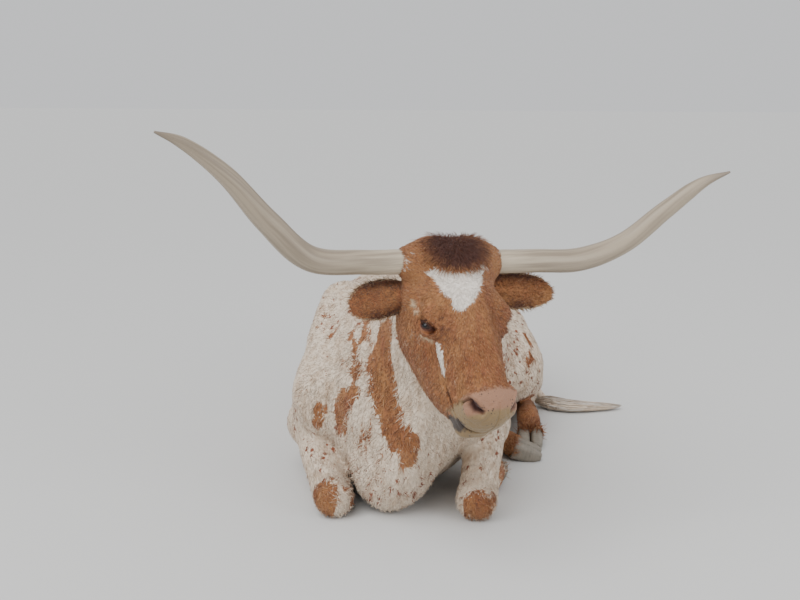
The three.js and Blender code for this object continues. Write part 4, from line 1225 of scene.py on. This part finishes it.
claw_horn = claw_finish()
half = CLAW_WIDTH / 2
for foot, place in FEET.items():
    start = np.array(place["at"], float)
    toe = np.array([*(start[:2] + place["ahead"]), TOE_HEIGHT])
    side = np.array(place["side"], float)
    ahead = (toe - start) / np.linalg.norm(toe - start)
    for which, turn in (("outer", place["outer"]), ("inner", -place["outer"])):
        path = [start - 12 * ahead - [0, 0, 6] + turn * (half + 0.5) * side,
                start + 0.55 * (toe - start) - [0, 0, 5] + turn * (half + 1.5) * side,
                toe + turn * (half - 1) * side]
        points, faces, along, _ = swept(
            path, lambda t: half * between_values(CLAW_WIDE, t),
            lambda t: CLAW_HEIGHT / 2 * between_values(CLAW_HIGH, t), side, 40, 40, power=3.2,
            ridges=lambda t, angle: 0.004 * math.sin(t * 60))
        points[:, 2] = np.maximum(points[:, 2], 0.2)
        claw = piece(f"claw_{foot}_{which}_wall", points, faces, claw_horn)
        carry(claw, {"root": points / 1000, "along": along})
        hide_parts(f"claw_{foot}_{which}")
        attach(claw, "root")

# Poll tuft: dark, bent locks that part at the crown of the head and fall over the forehead.
POLL_LOCKS = 3400
LOCK_TAPER = np.array([0.8, 1, 0.8, 0.5, 0])


def bent_locks(name, weight, count, length, half, lift, seed, spread=0.3, slot="head_coat",
               lie=None, droop=0):
    """Locks that rise from the skin, bend over along the coat and may droop."""
    found = roots(weight, count, seed)
    draw = found["draw"]
    if lie is not None:
        found["lie"] = lie(found["root"])
    along, across = tuft_ways(found, spread)
    reach = (length * draw.uniform(0.6, 1.2, count))[:, None, None]
    share = np.linspace(0, 1, len(LOCK_TAPER))[None, :, None]
    rise = (lift * draw.uniform(0.5, 1.3, count))[:, None, None]
    curl = draw.normal(0, 0.16, (count, 1, 1)) * across[:, None, :]
    paths = found["root"][:, None] - 2 * found["out"][:, None] * (1 - share)
    paths = paths + reach * share * (along[:, None] + curl * share)
    paths = paths + rise * np.sin(share * 2.2) * found["out"][:, None]
    paths[:, :, 2:] -= droop * share ** 2
    wide = np.tile(half * LOCK_TAPER, (count, 1)) * draw.uniform(0.7, 1.3, (count, 1))
    coat_piece(name, found, paths, across, wide, wide * 0.4)


poll_weight = smooth_step(poll, -14, 30) * (skin_head[:, 1] > 4) * ~skin_is_ear


def poll_lie(points):
    head = in_head(points)
    way = np.stack([head[:, 0] / 60, 0.35 + (head[:, 1] - 30) / 70, 0 * head[:, 0]], axis=1)
    return way @ head_turn


bent_locks("poll_tuft", poll_weight, POLL_LOCKS, length=34, half=0.85, lift=9, seed=70, spread=0.4,
           lie=poll_lie)

# Ear hair: fine fringes inside each cup and along its rims.
ear_rim = skin_is_ear * smooth_step(ear_inside, 0.05, 0.5) * smooth_step(ear_along, 0.12, 0.25)
ear_rim = ear_rim * (1 - smooth_step(ear_along, 0.6, 0.95))
bent_locks("ear_hair", ear_rim, 2600, length=24, half=0.7, lift=8, seed=71, spread=0.5)

# Longer hair on the brisket, under the jaw, on the knees, round the coronets and along the crest of
# the neck, where a coat stands off the hide.


def nearest_of(places):
    """Distance of each point of the skin to the nearest of several places."""
    return np.min([np.linalg.norm(skin_points - np.array(place), axis=1) for place in places], axis=0)


brisket = (skin_points[:, 1] < -420) * (skin_points[:, 2] < 520) * (1 - is_head) * (skin_points[:, 2] > 6)
NECK_CREST = [[236, -610, 850], [150, -500, 790], [80, -360, 735], [40, -200, 690]]
crest_line, _ = path_distance(skin_points, NECK_CREST)
neck_crest = (1 - smooth_step(crest_line, 40, 90)) * (1 - is_head)
jaw = is_head * smooth_step(-skin_head[:, 2], 190, 215) * (skin_head[:, 1] < 460)
knees = on_ground * (nearest_of([KNEE_RIGHT, KNEE_LEFT]) < 90)
coronets = on_ground * (1 - smooth_step(nearest_of([place["at"] for place in FEET.values()]), 44, 62))
BODY = {"slot": "body_coat"}
bent_locks("brisket_hair", brisket, 3000, length=30, half=1.2, lift=5, seed=72, spread=0.2, **BODY)
bent_locks("jaw_hair", jaw, 1500, length=22, half=0.9, lift=4, seed=73, spread=0.2)
bent_locks("crest_hair", neck_crest, 1800, length=30, half=1.2, lift=7, seed=74, **BODY)
bent_locks("knee_hair", knees, 1500, length=20, half=1.0, lift=4, seed=75, **BODY)
bent_locks("coronet_hair", coronets, 3000, length=38, half=1.1, lift=3, seed=76, **BODY)

# Lashes: short dark hairs along the edge of each upper lid.
lid_edge = np.zeros(len(skin_points))
for hand in (1, -1):
    place = eye_place(skin_points, hand)
    edge = np.exp(-((lid_distance(place) - 1.2) / 0.9) ** 2) * (place[:, 1] > 1) * (place[:, 2] > 0)
    lid_edge = np.maximum(lid_edge, edge * ~skin_is_ear)


def lash_lie(points):
    ways = [eye_axes(h)[1] * 0.9 + eye_axes(h)[2] for h in (1, -1)]
    left = in_head(points)[:, :1] > 0
    return np.where(left, ways[0], ways[1]) @ head_turn


bent_locks("lashes", lid_edge, 260, length=12, half=0.35, lift=5, seed=77, spread=0.15, lie=lash_lie, droop=3)

# Tail switch: a long brush of pale hair that lies on the ground behind the left hip.
SWITCH_LENGTH = 330
SWITCH_LOCKS = 2200


def switch_locks():
    draw = np.random.default_rng(80)
    count, rings = SWITCH_LOCKS, 8
    begin = draw.uniform(-0.08, 0.45, count)
    end = draw.uniform(0.55, 1.0, count)
    end = np.maximum(end, begin + 0.3)
    turn = draw.uniform(0, 2 * math.pi, count)
    out = np.sqrt(draw.uniform(0.0, 1, count))
    share = np.linspace(0, 1, rings)
    along = begin[:, None] + (end - begin)[:, None] * share
    spread = 3 + 43 * np.clip(1 - along, 0, 1) ** 0.6 * np.clip(0.6 + 4 * along, 0, 1)
    wave = 5 * np.sin(along * 9 + draw.uniform(0, 6.28, (count, 1)))
    x = 510 + SWITCH_LENGTH * along
    y = 560 - 110 * np.clip(along, 0, 0.35) + 60 * along ** 2
    y = y + np.cos(turn)[:, None] * spread * out[:, None] + wave
    z = 27 - 12 * along + 0.62 * np.sin(turn)[:, None] * spread * out[:, None]
    paths = np.stack([x, y, np.maximum(z, 1.5)], axis=2)
    ways = np.stack([np.zeros(count), -np.sin(turn), np.cos(turn)], axis=1)
    nearest = np.argmin(np.linalg.norm(skin_points - np.array(TAIL_END), axis=1))
    bake = unwrap[corner_loops[np.nonzero((corners == nearest).any(1))[0][0]][0]]
    plain = {name: np.zeros(count) for name in amounts}
    plain["white"] = draw.uniform(0.35, 0.55, count)
    bake = bake + draw.normal(0, 0.002, (count, 2))
    found = {"root": paths[:, 0], "bake": bake, "draw": draw, "amounts": plain}
    wide = np.tile(1.5 * np.array([0.8, 1, 1, 0.95, 0.85, 0.7, 0.45, 0]), (count, 1))
    return coat_piece("switch_hair", found, paths, ways, wide, wide * 0.45)


switch = switch_locks()
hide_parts("tail_switch")

# Studio: a plain pale floor, a broad soft light above the camera's left, a weaker one on the right,
# and the camera at the photograph's place.
CAMERA_AT = np.array([481.0, -3386.0, 1358.0])
CAMERA_TURN = 8
CAMERA_DOWN = 13.06
LENS = 45

floor_mesh = bpy.data.meshes.new("floor")
floor_mesh.from_pydata([(-30, -30, 0), (30, -30, 0), (30, 30, 0), (-30, 30, 0)], [], [(0, 1, 2, 3)])
floor = bpy.data.objects.new("floor", floor_mesh)
bpy.context.scene.collection.objects.link(floor)
pale = Finish("pale floor")
pale.shader.inputs["Base Color"].default_value = (0.60, 0.60, 0.59, 1)
pale.shader.inputs["Roughness"].default_value = 0.9
floor_mesh.materials.append(pale.material)


def soft_light(name, place, target, size, power):
    data = bpy.data.lights.new(name, "AREA")
    data.shape = "DISK"
    data.size = size
    data.energy = power
    lamp = bpy.data.objects.new(name, data)
    lamp.location = place
    lamp.rotation_euler = (Vector(target) - Vector(place)).to_track_quat("-Z", "Y").to_euler()
    bpy.context.scene.collection.objects.link(lamp)


LEFT_POWER = 70
RIGHT_POWER = 75
soft_light("left", (-3.6, -3.4, 2.6), (0, -0.6, 0.6), 2.5, LEFT_POWER)
soft_light("right", (3.8, -2.4, 2.2), (0, -0.4, 0.6), 2.5, RIGHT_POWER)
daylight = bpy.data.lights.new("daylight", "SUN")
daylight.energy = 2.1
daylight.angle = math.radians(50)
overhead = bpy.data.objects.new("daylight", daylight)
overhead.rotation_euler = (math.radians(28), math.radians(-18), 0)
bpy.context.scene.collection.objects.link(overhead)
world = bpy.data.worlds.new("studio")
world.use_nodes = True
world.node_tree.nodes["Background"].inputs["Color"].default_value = (0.97, 0.98, 1.0, 1)
world.node_tree.nodes["Background"].inputs["Strength"].default_value = 0.80
bpy.context.scene.world = world

camera_data = bpy.data.cameras.new("camera")
camera_data.lens = LENS
camera_data.sensor_width = 36
camera = bpy.data.objects.new("camera", camera_data)
camera.location = CAMERA_AT / 1000 + shift
camera.rotation_euler = (math.radians(90 - CAMERA_DOWN), 0, math.radians(CAMERA_TURN))
bpy.context.scene.collection.objects.link(camera)
bpy.context.scene.camera = camera
